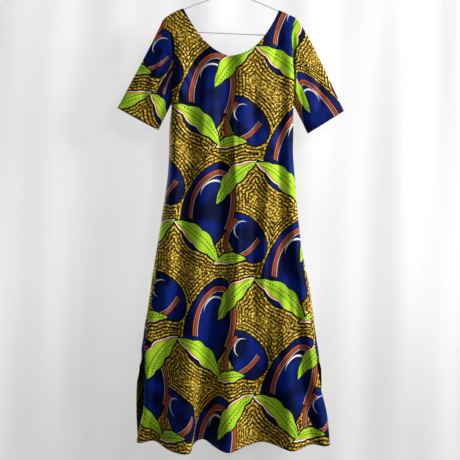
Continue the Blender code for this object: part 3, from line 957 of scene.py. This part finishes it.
@node_group("Figures of one repeat", {"Across": 0.0, "Up": 0.0}, DISTANCES + MASKS)
def figures_group(w, across, up):
    """Every figure of one repeat: distances from their edges, and masks of what is drawn on them."""
    oval, leaf = oval_group(), leaf_group()
    drawn = {label: [] for label in DISTANCES + MASKS}
    for row in PODS:
        sizes = (row.half_width, row.half_height, row.taper)
        x, y, pod = w.figure(oval, across, up, row, *sizes)
        drawn["Pod"].append(pod["Distance"])
        # A thin moon inside the pod: within one circle and outside another
        x, y, radius = x - 0.05 * row.half_width, y - 0.3 * row.half_height, 0.5 * row.half_width
        beyond = radius - w.length(x - 0.06 * radius, y + 0.13 * radius)
        drawn["Crescent"].append(w.inside(w.length(x, y) - radius) * w.inside(beyond))
    for row in LEAVES:
        sizes = (row.half_width, row.half_length, row.bend, row.lobes)
        _, y, shape = w.figure(leaf, across, up, row, *sizes)
        edge, rib = shape["Distance"], shape["Rib"]
        beat = w.math("FRACT", y / DOT_STEP) - 0.5
        dot = w.length(rib - 0.28 * row.half_width, beat * DOT_STEP) - DOT_RADIUS
        vein = abs(rib + 0.12 * row.half_width) - VEIN_RADIUS
        drawn["Leaf"].append(edge)
        drawn["Leaf marks"].append(w.inside(edge + LEAF_MARGIN) * w.inside(w.least(dot, vein)))
        # A white line and an orange one run along part of one edge, and taper out
        taper = w.fade(y, -0.5 * row.half_length, 0.4 * row.half_length) * w.inside(rib)
        for label, outer in (("Leaf light", -OUTLINE), ("Leaf trim", -OUTLINE - LIGHT_LINE)):
            drawn[label].append(w.between(edge, outer - taper * LIGHT_LINE, outer))
    for row in RIBBONS:
        x, y, shape = w.figure(oval, across, up, row, row.half_width, row.half_height)
        from_line = shape["Distance"]
        ribbon = w.most(abs(from_line) - row.half_band, row.cut - y)
        kept = w.inside(ribbon + RIBBON_MARGIN)
        along = w.math("ARCTAN2", x, y) * row.half_height
        one, other = (w.sine(turn * ROPE_TWIST) for turn in (along + from_line, along - from_line))
        drawn["Ribbon"].append(ribbon)
        drawn["Rope"].append(kept * (0.25 + w.fade(one * other, -0.25, 0.25) * 0.75))
        drawn["Orange"].append(kept * w.inside(0.58 * row.half_band - from_line))
        drawn["White"].append(kept * w.inside(from_line + 0.66 * row.half_band))
    return [joined(w, label, values) for label, values in drawn.items()]


@node_group("Echo lines", {"Distance": 0.0, "Place": "Vector", "Spacing": 0.0094}, ("Lines",))
def echo_group(w, distance, place, spacing):
    """Broken dark lines that follow the figures at an even spacing, heavier in some places."""
    far = w.fade(distance, *ECHO_FADE)
    shake = (w.noise(place, SHAKE_SIZE) - 0.5) * (0.002 + far * 0.008)
    beat = w.math("PINGPONG", (distance + shake) / spacing, 0.5)
    heavy = w.fade(w.noise(place, HEAVY_SIZE, 1.0), 0.4, 0.66)
    line = w.fade(ECHO_WIDTH + heavy * HEAVY_WIDTH - beat, -0.05, 0.05)
    return (line * (1.0 - far * 0.72),)


@node_group("Wax crackle", {"Place": "Vector", "Size": 0.02}, ("Veins",))
def crackle_group(w, place, size):
    """Fine veins where wax has cracked before the dye went in."""
    sources = {0: w.noise(place, BEND_SIZE, output="Color"), 1: VEIN_BEND, 2: place}
    bent = w.node("ShaderNodeVectorMath", sources, operation="MULTIPLY_ADD")[0]
    sources = {"Vector": bent, "Scale": 1.0 / size}
    cells = w.node("ShaderNodeTexVoronoi", sources, feature="DISTANCE_TO_EDGE")
    cracked = w.fade(w.noise(place, SHADE_SIZE, 1.0), 0.42, 0.6)
    return (w.fade(cells["Distance"], 0.045, 0.01) * cracked,)


@node_group("Weave and wrinkles", {"Place": "Vector", "Thread": 0.0005}, ("Height",))
def weave_group(w, place, thread):
    """Height of the plain weave and of the cloth's smallest wrinkles."""
    u, v, _ = w.split(place)
    turn = math.pi / thread
    wrinkles = w.noise(w.stretched(place, (1.0, 0.45, 1.0)), WRINKLE_SIZE, 3.0)
    return (w.sine(u * turn) * w.sine(v * turn) * 0.02 + wrinkles,)


@node_group("Pods and leaves print", {"Place": "Vector"} | dict.fromkeys(DYES, "Color"), ("Color",))
def print_group(w, place, *dyes):
    """The whole print: gold ground with echo lines, navy pods, lime leaves and rope ribbons."""
    layout = bpy.context.scene.dress_print
    dyes = dict(zip(DYES, dyes))
    repeat, figures = repeat_group(), figures_group()
    copies = []
    for next_one in itertools.product((0.0, 1.0), repeat=2):
        spot = w.use(repeat, place, layout.repeat_width, layout.repeat_height, *next_one)
        copies.append(w.use(figures, spot["Across"], spot["Up"]))
    found = {label: joined(w, label, [copy[label] for copy in copies]) for label in DISTANCES + MASKS}
    nearest = w.least(*(found[label] for label in DISTANCES))
    lines = w.use(echo_group(), nearest, place, layout.line_spacing)["Lines"]
    veins = w.use(crackle_group(), place)["Veins"]

    def layered(under, *layers):
        for share, label in layers:
            under = w.mix(share, under, dyes[label])
        return under

    grain = w.noise(place, GRAIN_SIZE, 1.5)
    specks = w.fade(w.noise(place, SPECK_SIZE, 0.0), 0.47, 0.36)
    ground = layered(
        dyes["Gold"],
        (w.fade(grain, 0.52, 0.4), "Deep gold"),
        (w.fade(grain, 0.52, 0.62), "Pale gold"),
        (w.most(lines, specks * 0.85), "Line"),
    )
    blotch = w.fade(w.noise(place, BLOTCH_SIZE, 1.0), 0.42, 0.62)
    pod = layered(
        dyes["Navy"],
        (0.12 + blotch * 0.7, "Royal blue"),
        (veins * 0.25, "Royal blue"),
        (found["Crescent"], "White"),
        (w.between(found["Pod"], -OUTLINE, 0.001), "Line"),
    )
    ribbon = layered(
        dyes["Line"], (found["Rope"], "Rust"), (found["Orange"], "Orange"), (found["White"], "White")
    )
    leaf = layered(
        dyes["Lime"],
        (w.fade(w.noise(place, SHADE_SIZE, 1.0), 0.45, 0.65) * 0.45, "Leaf green"),
        (found["Leaf marks"], "Line"),
        (found["Leaf trim"], "Orange"),
        (found["Leaf light"], "White"),
        (w.between(found["Leaf"], -OUTLINE, 0.001), "Line"),
    )
    for label, figure in (("Pod", pod), ("Ribbon", ribbon), ("Leaf", leaf)):
        ground = w.mix(w.inside(found[label]), ground, figure)
    return (ground,)


def new_material(name):
    """A material with its wiring and its shader."""
    made = bpy.data.materials.new(name)
    made.use_nodes = True
    return made, Wiring(made.node_tree), made.node_tree.nodes["Principled BSDF"]


def printed_cotton(name, strength):
    """The printed cloth. The dye goes through it, so its wrong side has the same print, darkened there as
    painted shade.
    """
    made = bpy.data.materials.get(name)
    if made:
        return made
    made, w, shader = new_material(name)
    colours = bpy.context.scene.dress_colours
    dyes = []
    for label in DYES:
        colour = getattr(colours, label.lower().replace(" ", "_"))
        # A strength below one darkens every dye as painted shade
        dyes.append(tuple(strength * value for value in colour) + (1.0,))
    place = w.node("ShaderNodeUVMap", uv_map="print")["UV"]
    w.feed(shader.inputs["Base Color"], w.use(print_group(), place, *dyes)["Color"])
    shader.inputs["Roughness"].default_value = 0.6
    shader.inputs["Specular IOR Level"].default_value = 0.06
    height = w.use(weave_group(), place)["Height"]
    w.bump(shader, height, 0.5, bpy.context.scene.dress_print.wrinkle_height)
    return made


@node_group(
    "Fine grain",
    {"Place": "Vector", "Size": 0.004, "Color": "Color", "Worn color": "Color", "Roughness": 0.5},
    ("Color", "Roughness", "Height"),
)
def grain_group(w, place, size, colour, worn, roughness):
    """Slight unevenness of colour, gloss and height, as on thread, coated wire and plain cloth."""
    place = w.node("ShaderNodeVectorMath", {0: place, "Scale": 1.0 / size}, operation="SCALE")[0]
    fine, broad = w.noise(place, 1.0, 3.0), w.noise(place, 6.0, 2.0)
    return w.mix(w.fade(broad, 0.38, 0.68), colour, worn), roughness + (fine - 0.5) * 0.3, fine


def grained_material(name, colour, worn, roughness, size, height, coat=0.0):
    """A finish with fine grain of a given size and height."""
    made, w, shader = new_material(name)
    place = w.node("ShaderNodeTexCoord")["Object"]
    colours = [tuple(part * value for value in colour) + (1.0,) for part in (1.0, worn)]
    grain = w.use(grain_group(), place, size, *colours, roughness)
    w.feed(shader.inputs["Base Color"], grain["Color"])
    w.feed(shader.inputs["Roughness"], grain["Roughness"])
    shader.inputs["Coat Weight"].default_value = coat
    w.bump(shader, grain["Height"], 0.6, height)
    return made


@functools.cache
def laid_panels():
    """The front and the back, worked out once."""
    return (
        Panel("front", -1, FRONT_FOLDS, FRONT_CREASES),
        Panel("back", 1, BACK_FOLDS, BACK_CREASES),
    )


@functools.cache
def laid_sleeve(side):
    """One sleeve's points, as ring places by steps down from the armhole, and the print's places on it.

    The ring starts at the underarm, goes up the back to the shoulder tip, and comes down the front.
    """
    sleeve = next(row for row in SLEEVES if row.side == side)
    outward = OUTWARD[side]
    fore, aft = (panel.armhole_edge(side) for panel in laid_panels())
    count = len(fore) - 1
    ring = np.concatenate([aft[:-1], fore[::-1]])
    ring[[0, count, -1], 1] = 0.0
    ring[-1] = ring[0]
    run = run_along(ring)
    half_turns = np.interp(run, (0.0, run[count], run[-1]), (0.0, 1.0, 2.0))
    angle = math.pi * (1 + half_turns)
    cosine, sine = np.cos(angle), np.sin(angle)
    beside = eased((-cosine - 0.2) / 0.8)
    at_tip = eased((cosine - 0.6) / 0.4)
    start = ring.copy()
    start[:, 0] += outward * (
        SEAM_GAP + SLEEVE_CLEARANCE + CAD_CLOTH * (BESIDE_LIFT * beside + TIP_LIFT * at_tip)
    )
    middle_x, middle_z = ((a + b) / 2 for a, b in zip(sleeve.outer, sleeve.inner))
    half_x, half_z = ((b - a) / 2 for a, b in zip(sleeve.outer, sleeve.inner))
    cuff_y = -CUFF_DEPTH * np.sign(sine) * np.abs(sine) ** CUFF_POWER
    cuff = np.stack([middle_x - half_x * cosine, cuff_y, middle_z - half_z * cosine], axis=1)
    rings = []
    # The allowance is turned in under the body before the sleeve goes down
    tucked = start.copy()
    tucked[:, 0] -= outward * ALLOWANCE * (1 - at_tip)
    tucked[:, 1] *= 0.8
    rings.append(tucked)
    # The steps are closest together beside the seam
    for step in np.linspace(0, 1, SLEEVE_STEPS + 1):
        share = lerp(step, step * step, SLEEVE_CROWDING)
        points = lerp(start, cuff, share)
        points[:, 0] += outward * sleeve.cap_bulge * math.sin(math.pi * share**0.6) * np.maximum(0, cosine)
        around = half_turns * SLEEVE_ROUND / 2
        down = np.full_like(around, share * SLEEVE_LENGTH)
        rough = uneven(around / SLEEVE_RIPPLE_SIZE, down / SLEEVE_RIPPLE_SIZE, 3.1 * outward)
        push = crease_push(SLEEVE_CREASES, around, down) + 0.5 * RIPPLE * rough
        push = push * eased(share / CREASE_START)
        # The sleeve dips beside the armhole's seam before it rises again
        dip = ARMHOLE_DIP * math.exp(-(((share * SLEEVE_LENGTH - DIP_FROM_SEAM) / DIP_WIDTH) ** 2))
        points[:, 1] -= (push - dip * (1 - at_tip)) * sine * np.abs(sine)
        points[-1] = points[0]
        rings.append(points)
    points = np.stack(rings, axis=1)
    # The print runs round from the top edge, and down along the sleeve's own middle line
    around = run_along(points)
    down = np.array([middle_x - ring[count, 0], 0.0, middle_z - ring[count, 2]])
    down /= np.linalg.norm(down)
    fall = (points - ring[count]) @ down
    shift = SLEEVE_PRINT_SHIFT[side]
    places = np.stack([(around - around[count]) * MM + shift[0], shift[1] - fall * MM], axis=2)
    return points, places


def stitch_line(lines, inset):
    """Points an inset along each of the lines, with the way that each line runs there."""
    spots, ways = [], []
    for line in lines:
        n, share = seat_on(run_along(line), inset)
        spots.append(lerp(line[n - 1], line[n], share))
        ways.append(line[n] - line[n - 1])
    return np.array(spots), np.array(ways)


def sew(shape, lines, inset, facing):
    """A row of small stitches on the cloth's outer side. facing(spot) is any way out of the garment."""
    sizes = bpy.context.scene.dress_sizes
    spots, ways = stitch_line(lines, inset)
    run = run_along(spots)
    pitch = sizes.stitch_pitch / MM
    for at in np.arange(pitch / 2, run[-1], pitch):
        n, share = seat_on(run, at)
        along = Vector(spots[n] - spots[n - 1]).normalized()
        out = along.cross(Vector(lerp(ways[n - 1], ways[n], share))).normalized()
        spot = Vector(lerp(spots[n - 1], spots[n], share))
        if out.dot(facing(spot)) < 0:
            out.negate()
        seat = Matrix((along, out.cross(along), out)).transposed().to_4x4()
        half = Matrix.Diagonal((sizes.stitch_length / 2, sizes.thread / 2, sizes.thread / 2, 1.0))
        seat.translation = spot * MM + out * sizes.cloth
        bmesh.ops.create_icosphere(shape, subdivisions=1, radius=1.0, matrix=seat @ half)


def rounded(points, steps):
    """A smooth line through its own points."""
    line = []
    last = len(points) - 1
    for n in range(last):
        before, start, end, after = (np.array(points[min(max(n + k, 0), last)]) for k in (-1, 0, 1, 2))
        for step in range(steps):
            t = step / steps
            curve = 2 * start + (end - before) * t + (2 * before - 5 * start + 4 * end - after) * t * t
            line.append(0.5 * (curve + (3 * start - before - 3 * end + after) * t**3))
    return line + [np.array(points[-1])]


def under_shoulder(x, radius):
    """A point of the wire below the shoulder seam at x, a little lower at the neck points."""
    rise = float(shoulder_height(x + 1) - shoulder_height(x - 1)) / 2
    length = math.hypot(1, rise)
    from_neck = min(abs(x - LEFT_NECK[0]), abs(x - RIGHT_NECK[0]))
    slack = NECK_SLACK * math.exp(-((from_neck / NECK_SLACK_SPREAD) ** 2))
    down = radius + CAD_CLOTH / 2 + WIRE_GAP + slack
    return x + down * rise / length, 0.0, float(shoulder_height(x)) - down / length


def hanger_path(radius):
    """The one bent wire: hook, twisted stem, left arm, bar, right arm and back up round the stem."""
    ring = HOOK_INSIDE + radius
    middle = radius - ring
    turns = [math.radians(angle) for angle in range(*HOOK_ANGLES)]
    hook = [(ring * math.cos(turn), 0.0, middle + ring * math.sin(turn)) for turn in turns]
    neck = [(STEM_SWAY[0], 0.0, middle - STEM_DROP), (STEM_SWAY[1], 0.0, TWIST_TOP + 6)]
    twist = []
    for n in range(TWIST_STEPS + 1):
        share = n / TWIST_STEPS
        turn = 2 * math.pi * TWIST_TURNS * share
        height = lerp(TWIST_TOP, WIRE_PEAK[1] + 1.5, share)
        spread = TWIST_SPREAD * radius
        twist.append((spread * math.cos(turn), spread * math.sin(turn), height))
    other = [(-x, -y, z) for x, y, z in twist]
    left = [(-SPLAY[0], 0.0, SPLAY[1])] + [under_shoulder(x, radius) for x in LEFT_ARM]
    right = [(SPLAY[0], 0.0, SPLAY[1])] + [under_shoulder(x, radius) for x in RIGHT_ARM]
    left_end = [(x, 0.0, z) for x, z in LEFT_END]
    right_end = [(x, 0.0, z) for x, z in RIGHT_END]
    path = rounded(hook + neck + twist, 3)
    path += [np.array(spot) for spot in left]
    path += rounded(left[-1:] + left_end, 4)[1:]
    path += rounded(right[-1:] + right_end, 4)[:0:-1]
    path += [np.array(spot) for spot in right[::-1]]
    path += rounded(other[::-1], 2)
    return path


def wire_mesh(name, path, radius):
    """A round wire along a path, with rounded ends."""
    path = np.array(path)
    ways = np.gradient(path, axis=0)
    ways /= np.linalg.norm(ways, axis=1)[:, None]
    side = np.cross(ways[0], (0.0, 1.0, 0.0))
    turns = np.linspace(0, 2 * math.pi, WIRE_SIDES + 1)[:, None]
    whole = [(n, 0.0, 1.0) for n in range(len(path))]
    rings = []
    for at, past, size in [(0, -0.5, 0.55)] + whole + [(len(path) - 1, 0.5, 0.55)]:
        side = side - ways[at] * (side @ ways[at])
        side /= np.linalg.norm(side)
        other = np.cross(ways[at], side)
        centre = path[at] + ways[at] * past * radius
        rings.append(centre + size * radius * (np.cos(turns) * side + np.sin(turns) * other))
    return laid_mesh(name, np.stack(rings, axis=1), closed=True, capped=True)


def length_property(label, note, value):
    return bpy.props.FloatProperty(name=label, description=note, default=value, unit="LENGTH", precision=5)


def power_property(label, note, value):
    return bpy.props.FloatProperty(name=label, description=note, default=value, unit="POWER", min=0)


def strength_property(label, note, value):
    return bpy.props.FloatProperty(name=label, description=note, default=value, min=0)


def colour_property(label, note, value):
    return bpy.props.FloatVectorProperty(
        name=label, description=note, default=value, subtype="COLOR", min=0, max=1
    )


class DressSizes(bpy.types.PropertyGroup):
    """Sizes that a maker would change."""

    cloth: length_property("Cloth", "Thickness of the cotton", 0.0006)
    neck_stitch: length_property("Neck stitch", "From the neck's edge to its stitches", 0.0045)
    hem_stitch: length_property("Hem stitch", "From the hem's edge to its stitches", 0.019)
    cuff_stitch: length_property("Cuff stitch", "From the cuff's edge to its stitches", 0.018)
    slit_stitch: length_property("Slit stitch", "From the slit's edge to its stitches", 0.009)
    stitch_pitch: length_property("Stitch pitch", "From one stitch to the next", 0.0034)
    stitch_length: length_property("Stitch length", "Length of thread that shows", 0.0026)
    thread: length_property("Thread", "Thickness of the thread", 0.0005)
    wire: length_property("Wire", "Thickness of the hanger's wire", 0.0027)


class PrintColours(bpy.types.PropertyGroup):
    """Colours of the print and of the hanger."""

    gold: colour_property("Gold", "Ground of the print", (0.66, 0.41, 0.022))
    deep_gold: colour_property("Deep gold", "Ground where the dye is heavier", (0.19, 0.08, 0.006))
    pale_gold: colour_property("Pale gold", "Ground where the dye is thin", (0.93, 0.78, 0.14))
    line: colour_property("Line", "Outlines and echo lines", (0.006, 0.0045, 0.003))
    navy: colour_property("Navy", "Pods", (0.0008, 0.0017, 0.01))
    royal_blue: colour_property("Royal blue", "Brighter places in the pods", (0.0024, 0.017, 0.2))
    lime: colour_property("Lime", "Leaves", (0.42, 0.72, 0.03))
    leaf_green: colour_property("Leaf green", "Darker places in the leaves", (0.13, 0.36, 0.008))
    orange: colour_property("Orange", "Edge of the ribbons", (0.8, 0.12, 0.025))
    rust: colour_property("Rust", "Rope pattern on the ribbons", (0.4, 0.11, 0.06))
    white: colour_property("White", "Fine highlights", (0.85, 0.82, 0.76))
    thread_dark: colour_property("Thread", "Sewing thread", (0.03, 0.02, 0.012))
    wire_grey: colour_property("Wire grey", "Coating of the hanger", (0.55, 0.55, 0.54))


class PrintLayout(bpy.types.PropertyGroup):
    """Scale of the print."""

    repeat_width: length_property("Repeat width", "Width of one repeat", 0.272)
    repeat_height: length_property("Repeat height", "Height of one repeat", 0.34)
    line_spacing: length_property("Line spacing", "From one echo line to the next", 0.0094)
    wrinkle_height: length_property("Wrinkle height", "Height of the smallest wrinkles", 0.0012)


class StageSettings(bpy.types.PropertyGroup):
    """Backdrop and lights."""

    key: power_property("Key", "Light from the front right", 30.0)
    side: power_property("Side", "Raking light from the right", 142.0)
    fill: power_property("Fill", "Soft light from the front left", 2.5)
    rear: power_property("Rear", "Raking light on the garment's back", 95.0)
    sky: strength_property("Sky", "Brightness of the room", 0.07)
    walls: strength_property("Walls", "How pale the room looks", 0.72)
    backdrop: length_property("Backdrop", "How far behind the hook it hangs", 0.086)
    backdrop_colour: colour_property("Backdrop colour", "Colour of the backdrop", (0.3, 0.3, 0.31))
    # The backdrop's glow is painted light that stands in for daylight through the cloth
    backdrop_painted_glow: strength_property("Backdrop glow", "Daylight that comes through the backdrop", 0.66)


class DRESS_OT_panels(bpy.types.Operator):
    """Make the front and the back with their folds and creases"""

    bl_idname = "dress.panels"
    bl_label = "Front and back"

    def execute(self, context):
        sizes = context.scene.dress_sizes
        for panel in laid_panels():
            points = panel.points
            places = panel.print_places() + np.array(PANEL_PRINT_SHIFT[panel.name])
            mesh = laid_mesh(panel.name, points, places, turned_edges(panel, sizes))
            face_out(mesh, Vector((0, panel.towards, 0)))
            piece = add_cloth(panel.name, mesh)
            flat = tuple(float(run_along(points, axis).max() * MM) for axis in (0, 1))
            cloth_area(points)
        return {"FINISHED"}


class DRESS_OT_sleeves(bpy.types.Operator):
    """Make both sleeves as tubes from the armholes to the cuffs"""

    bl_idname = "dress.sleeves"
    bl_label = "Sleeves"

    def execute(self, context):
        for side in OUTWARD:
            points, places = laid_sleeve(side)
            name = "sleeve_" + side
            down = run_along(points, 1) * MM
            turned = down[:, -1:] - down < context.scene.dress_sizes.cuff_stitch
            piece = add_cloth(name, laid_mesh(name, points, places, turned, closed=True))
            # The cut is widest at the underarm, where its rings are measured square to the sleeve
            axis = Vector(points[:, -1].mean(axis=0) - points[:, 0].mean(axis=0)).normalized()
            square = points - (points @ axis)[..., None] * np.array(axis)
            flat = (float(run_along(square).max() * MM), float(down.max()))
            cloth_area(points)
        return {"FINISHED"}


class DRESS_OT_stitching(bpy.types.Operator):
    """Sew the neck, hem, slits and cuffs"""

    bl_idname = "dress.stitching"
    bl_label = "Stitching"

    def execute(self, context):
        sizes = context.scene.dress_sizes
        shape = bmesh.new()
        for panel in laid_panels():
            points = panel.points
            away = Vector((0, panel.towards, 0))
            sew(shape, points[NECK, ::-1], sizes.neck_stitch / MM, lambda spot: away)
            sew(shape, points, sizes.hem_stitch / MM, lambda spot: away + Vector((0.02 * spot.x, 0, 0)))
            slit_rows = points[:, points[0, :, 2] < SLIT_TOP].swapaxes(0, 1)
            for lines, outward in ((slit_rows, -1), (slit_rows[:, ::-1], 1)):
                turn = Vector((0.5 * outward, panel.towards, 0))
                sew(shape, lines, sizes.slit_stitch / MM, lambda spot: turn)
        for side in OUTWARD:
            points = laid_sleeve(side)[0]
            middle = Vector(points[:, -1].mean(axis=0))
            sew(shape, points[:, ::-1], sizes.cuff_stitch / MM, lambda spot: spot - middle)
        colour = context.scene.dress_colours.thread_dark
        thread = grained_material("Thread", colour, worn=0.6, roughness=0.6, size=0.0003, height=0.00006)
        add_piece("stitching", smooth_mesh("stitching", shape), thread)
        return {"FINISHED"}


class DRESS_OT_hanger(bpy.types.Operator):
    """Bend the hanger from one wire"""

    bl_idname = "dress.hanger"
    bl_label = "Hanger"

    def execute(self, context):
        radius = context.scene.dress_sizes.wire / 2 / MM
        mesh = wire_mesh("wire_hanger", hanger_path(radius), radius)
        colour = context.scene.dress_colours.wire_grey
        coating = grained_material(
            "Coated wire", colour, worn=0.8, roughness=0.35, size=0.002, height=0.00004, coat=0.3
        )
        piece = add_piece("wire_hanger", mesh, coating)
        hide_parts("hanger_hook", "hanger_arm_left", "hanger_arm_right", "hanger_bar")
        return {"FINISHED"}


class DRESS_OT_stage(bpy.types.Operator):
    """Hang the backdrop, set the lights and place the camera"""

    bl_idname = "dress.stage"
    bl_label = "Stage"

    def execute(self, context):
        settings = context.scene.dress_stage
        hang_backdrop(settings)
        for light in STAGE_LIGHTS:
            add_light(light, getattr(settings, light.name))
        world = bpy.data.worlds.new("Room")
        world.use_nodes = True
        background = world.node_tree.nodes["Background"].inputs
        background["Color"].default_value = SKY_COLOUR
        w = Wiring(world.node_tree)
        seen = w.node("ShaderNodeLightPath")["Is Camera Ray"]
        w.feed(background["Strength"], seen * (settings.walls - settings.sky) + settings.sky)
        context.scene.world = world
        context.scene.view_settings.view_transform = "Standard"
        camera = bpy.data.cameras.new("Camera")
        camera.sensor_width = SENSOR
        camera.lens = SENSOR * VIEW_DISTANCE / VIEW_WIDTH
        seat = add_object("Camera", camera)
        seat.location = (VIEW_CENTRE[0], -VIEW_DISTANCE, VIEW_CENTRE[1])
        seat.rotation_euler = (math.pi / 2, 0, 0)
        context.scene.camera = seat
        return {"FINISHED"}


def hang_backdrop(settings):
    """A pale cloth behind the garment, which glows with painted light, dimmer in faint streaks and low down
    as painted shade. It can't be seen from behind, and it lets the rear light through.
    """
    x, z = np.meshgrid(BACKDROP_ACROSS, BACKDROP_UP, indexing="ij")
    wave = 0.006 * np.sin(23 * x + 1.4 * z) + 0.004 * np.sin(41 * x - 2.1 * z + 1)
    y = settings.backdrop + wave + 0.004 * uneven(6 * x, 2 * z, 0.0)
    mesh = laid_mesh("backdrop", np.stack([x, y, z], axis=2) / MM)
    face_out(mesh, Vector((0, -1, 0)))
    made = grained_material(
        "Backdrop", settings.backdrop_colour, worn=0.97, roughness=0.85, size=0.003, height=0.0003
    )
    w = Wiring(made.node_tree)
    shader, output = made.node_tree.nodes["Principled BSDF"], made.node_tree.nodes["Material Output"]
    # The glow is painted light: painted shade dims it in faint upright streaks, and more of it low down
    place = w.node("ShaderNodeTexCoord")["Object"]
    painted_streak_shade = w.fade(w.noise(w.stretched(place, (1.0, 1.0, 0.12)), 0.16), 0.4, 0.7)
    low = w.fade(w.split(place)[2], -0.85, -1.5)
    painted_glow = w.mix(low * 0.8 + painted_streak_shade * 0.3, PAINTED_GLOW, PAINTED_GLOW_SHADED)
    w.feed(shader.inputs["Emission Color"], painted_glow)
    shader.inputs["Emission Strength"].default_value = settings.backdrop_painted_glow
    clear = w.node("ShaderNodeBsdfTransparent")[0]
    behind = w.node("ShaderNodeNewGeometry")["Backfacing"]
    shadow = w.node("ShaderNodeLightPath")["Is Shadow Ray"]
    mixed = w.node("ShaderNodeMixShader", {0: w.most(behind, shadow), 1: shader.outputs[0], 2: clear})
    w.feed(output.inputs["Surface"], mixed[0])
    mesh.materials.append(made)
    return add_object("backdrop", mesh)


def add_light(light, power):
    data = bpy.data.lights.new(light.name, "AREA")
    data.energy = power
    data.size = light.size
    data.color = light.colour
    lamp = add_object(light.name, data)
    lamp.location = light.seat
    lamp.rotation_euler = (Vector(light.aim) - Vector(light.seat)).to_track_quat("-Z", "Y").to_euler()


class DRESS_PT_sidebar(bpy.types.Panel):
    """Lists what can be made"""

    bl_label = "Dress"
    bl_idname = "DRESS_PT_sidebar"
    bl_space_type = "VIEW_3D"
    bl_region_type = "UI"
    bl_category = "Dress"

    def draw(self, context):
        for operator in OPERATORS:
            self.layout.operator(operator.bl_idname)


OPERATORS = (DRESS_OT_panels, DRESS_OT_sleeves, DRESS_OT_stitching, DRESS_OT_hanger, DRESS_OT_stage)
SETTINGS = (
    ("dress_sizes", DressSizes),
    ("dress_colours", PrintColours),
    ("dress_print", PrintLayout),
    ("dress_stage", StageSettings),
)


def register():
    for name, group in SETTINGS:
        bpy.utils.register_class(group)
        setattr(bpy.types.Scene, name, bpy.props.PointerProperty(type=group))
    for made in OPERATORS + (DRESS_PT_sidebar,):
        bpy.utils.register_class(made)


def unregister():
    for made in (DRESS_PT_sidebar,) + OPERATORS[::-1]:
        bpy.utils.unregister_class(made)
    for name, group in SETTINGS[::-1]:
        delattr(bpy.types.Scene, name)
        bpy.utils.unregister_class(group)


def main():
    register()
    bpy.ops.dress.panels()
    bpy.ops.dress.sleeves()
    bpy.ops.dress.stitching()
    bpy.ops.dress.hanger()
    bpy.ops.dress.stage()


if __name__ == "__main__":
    main()
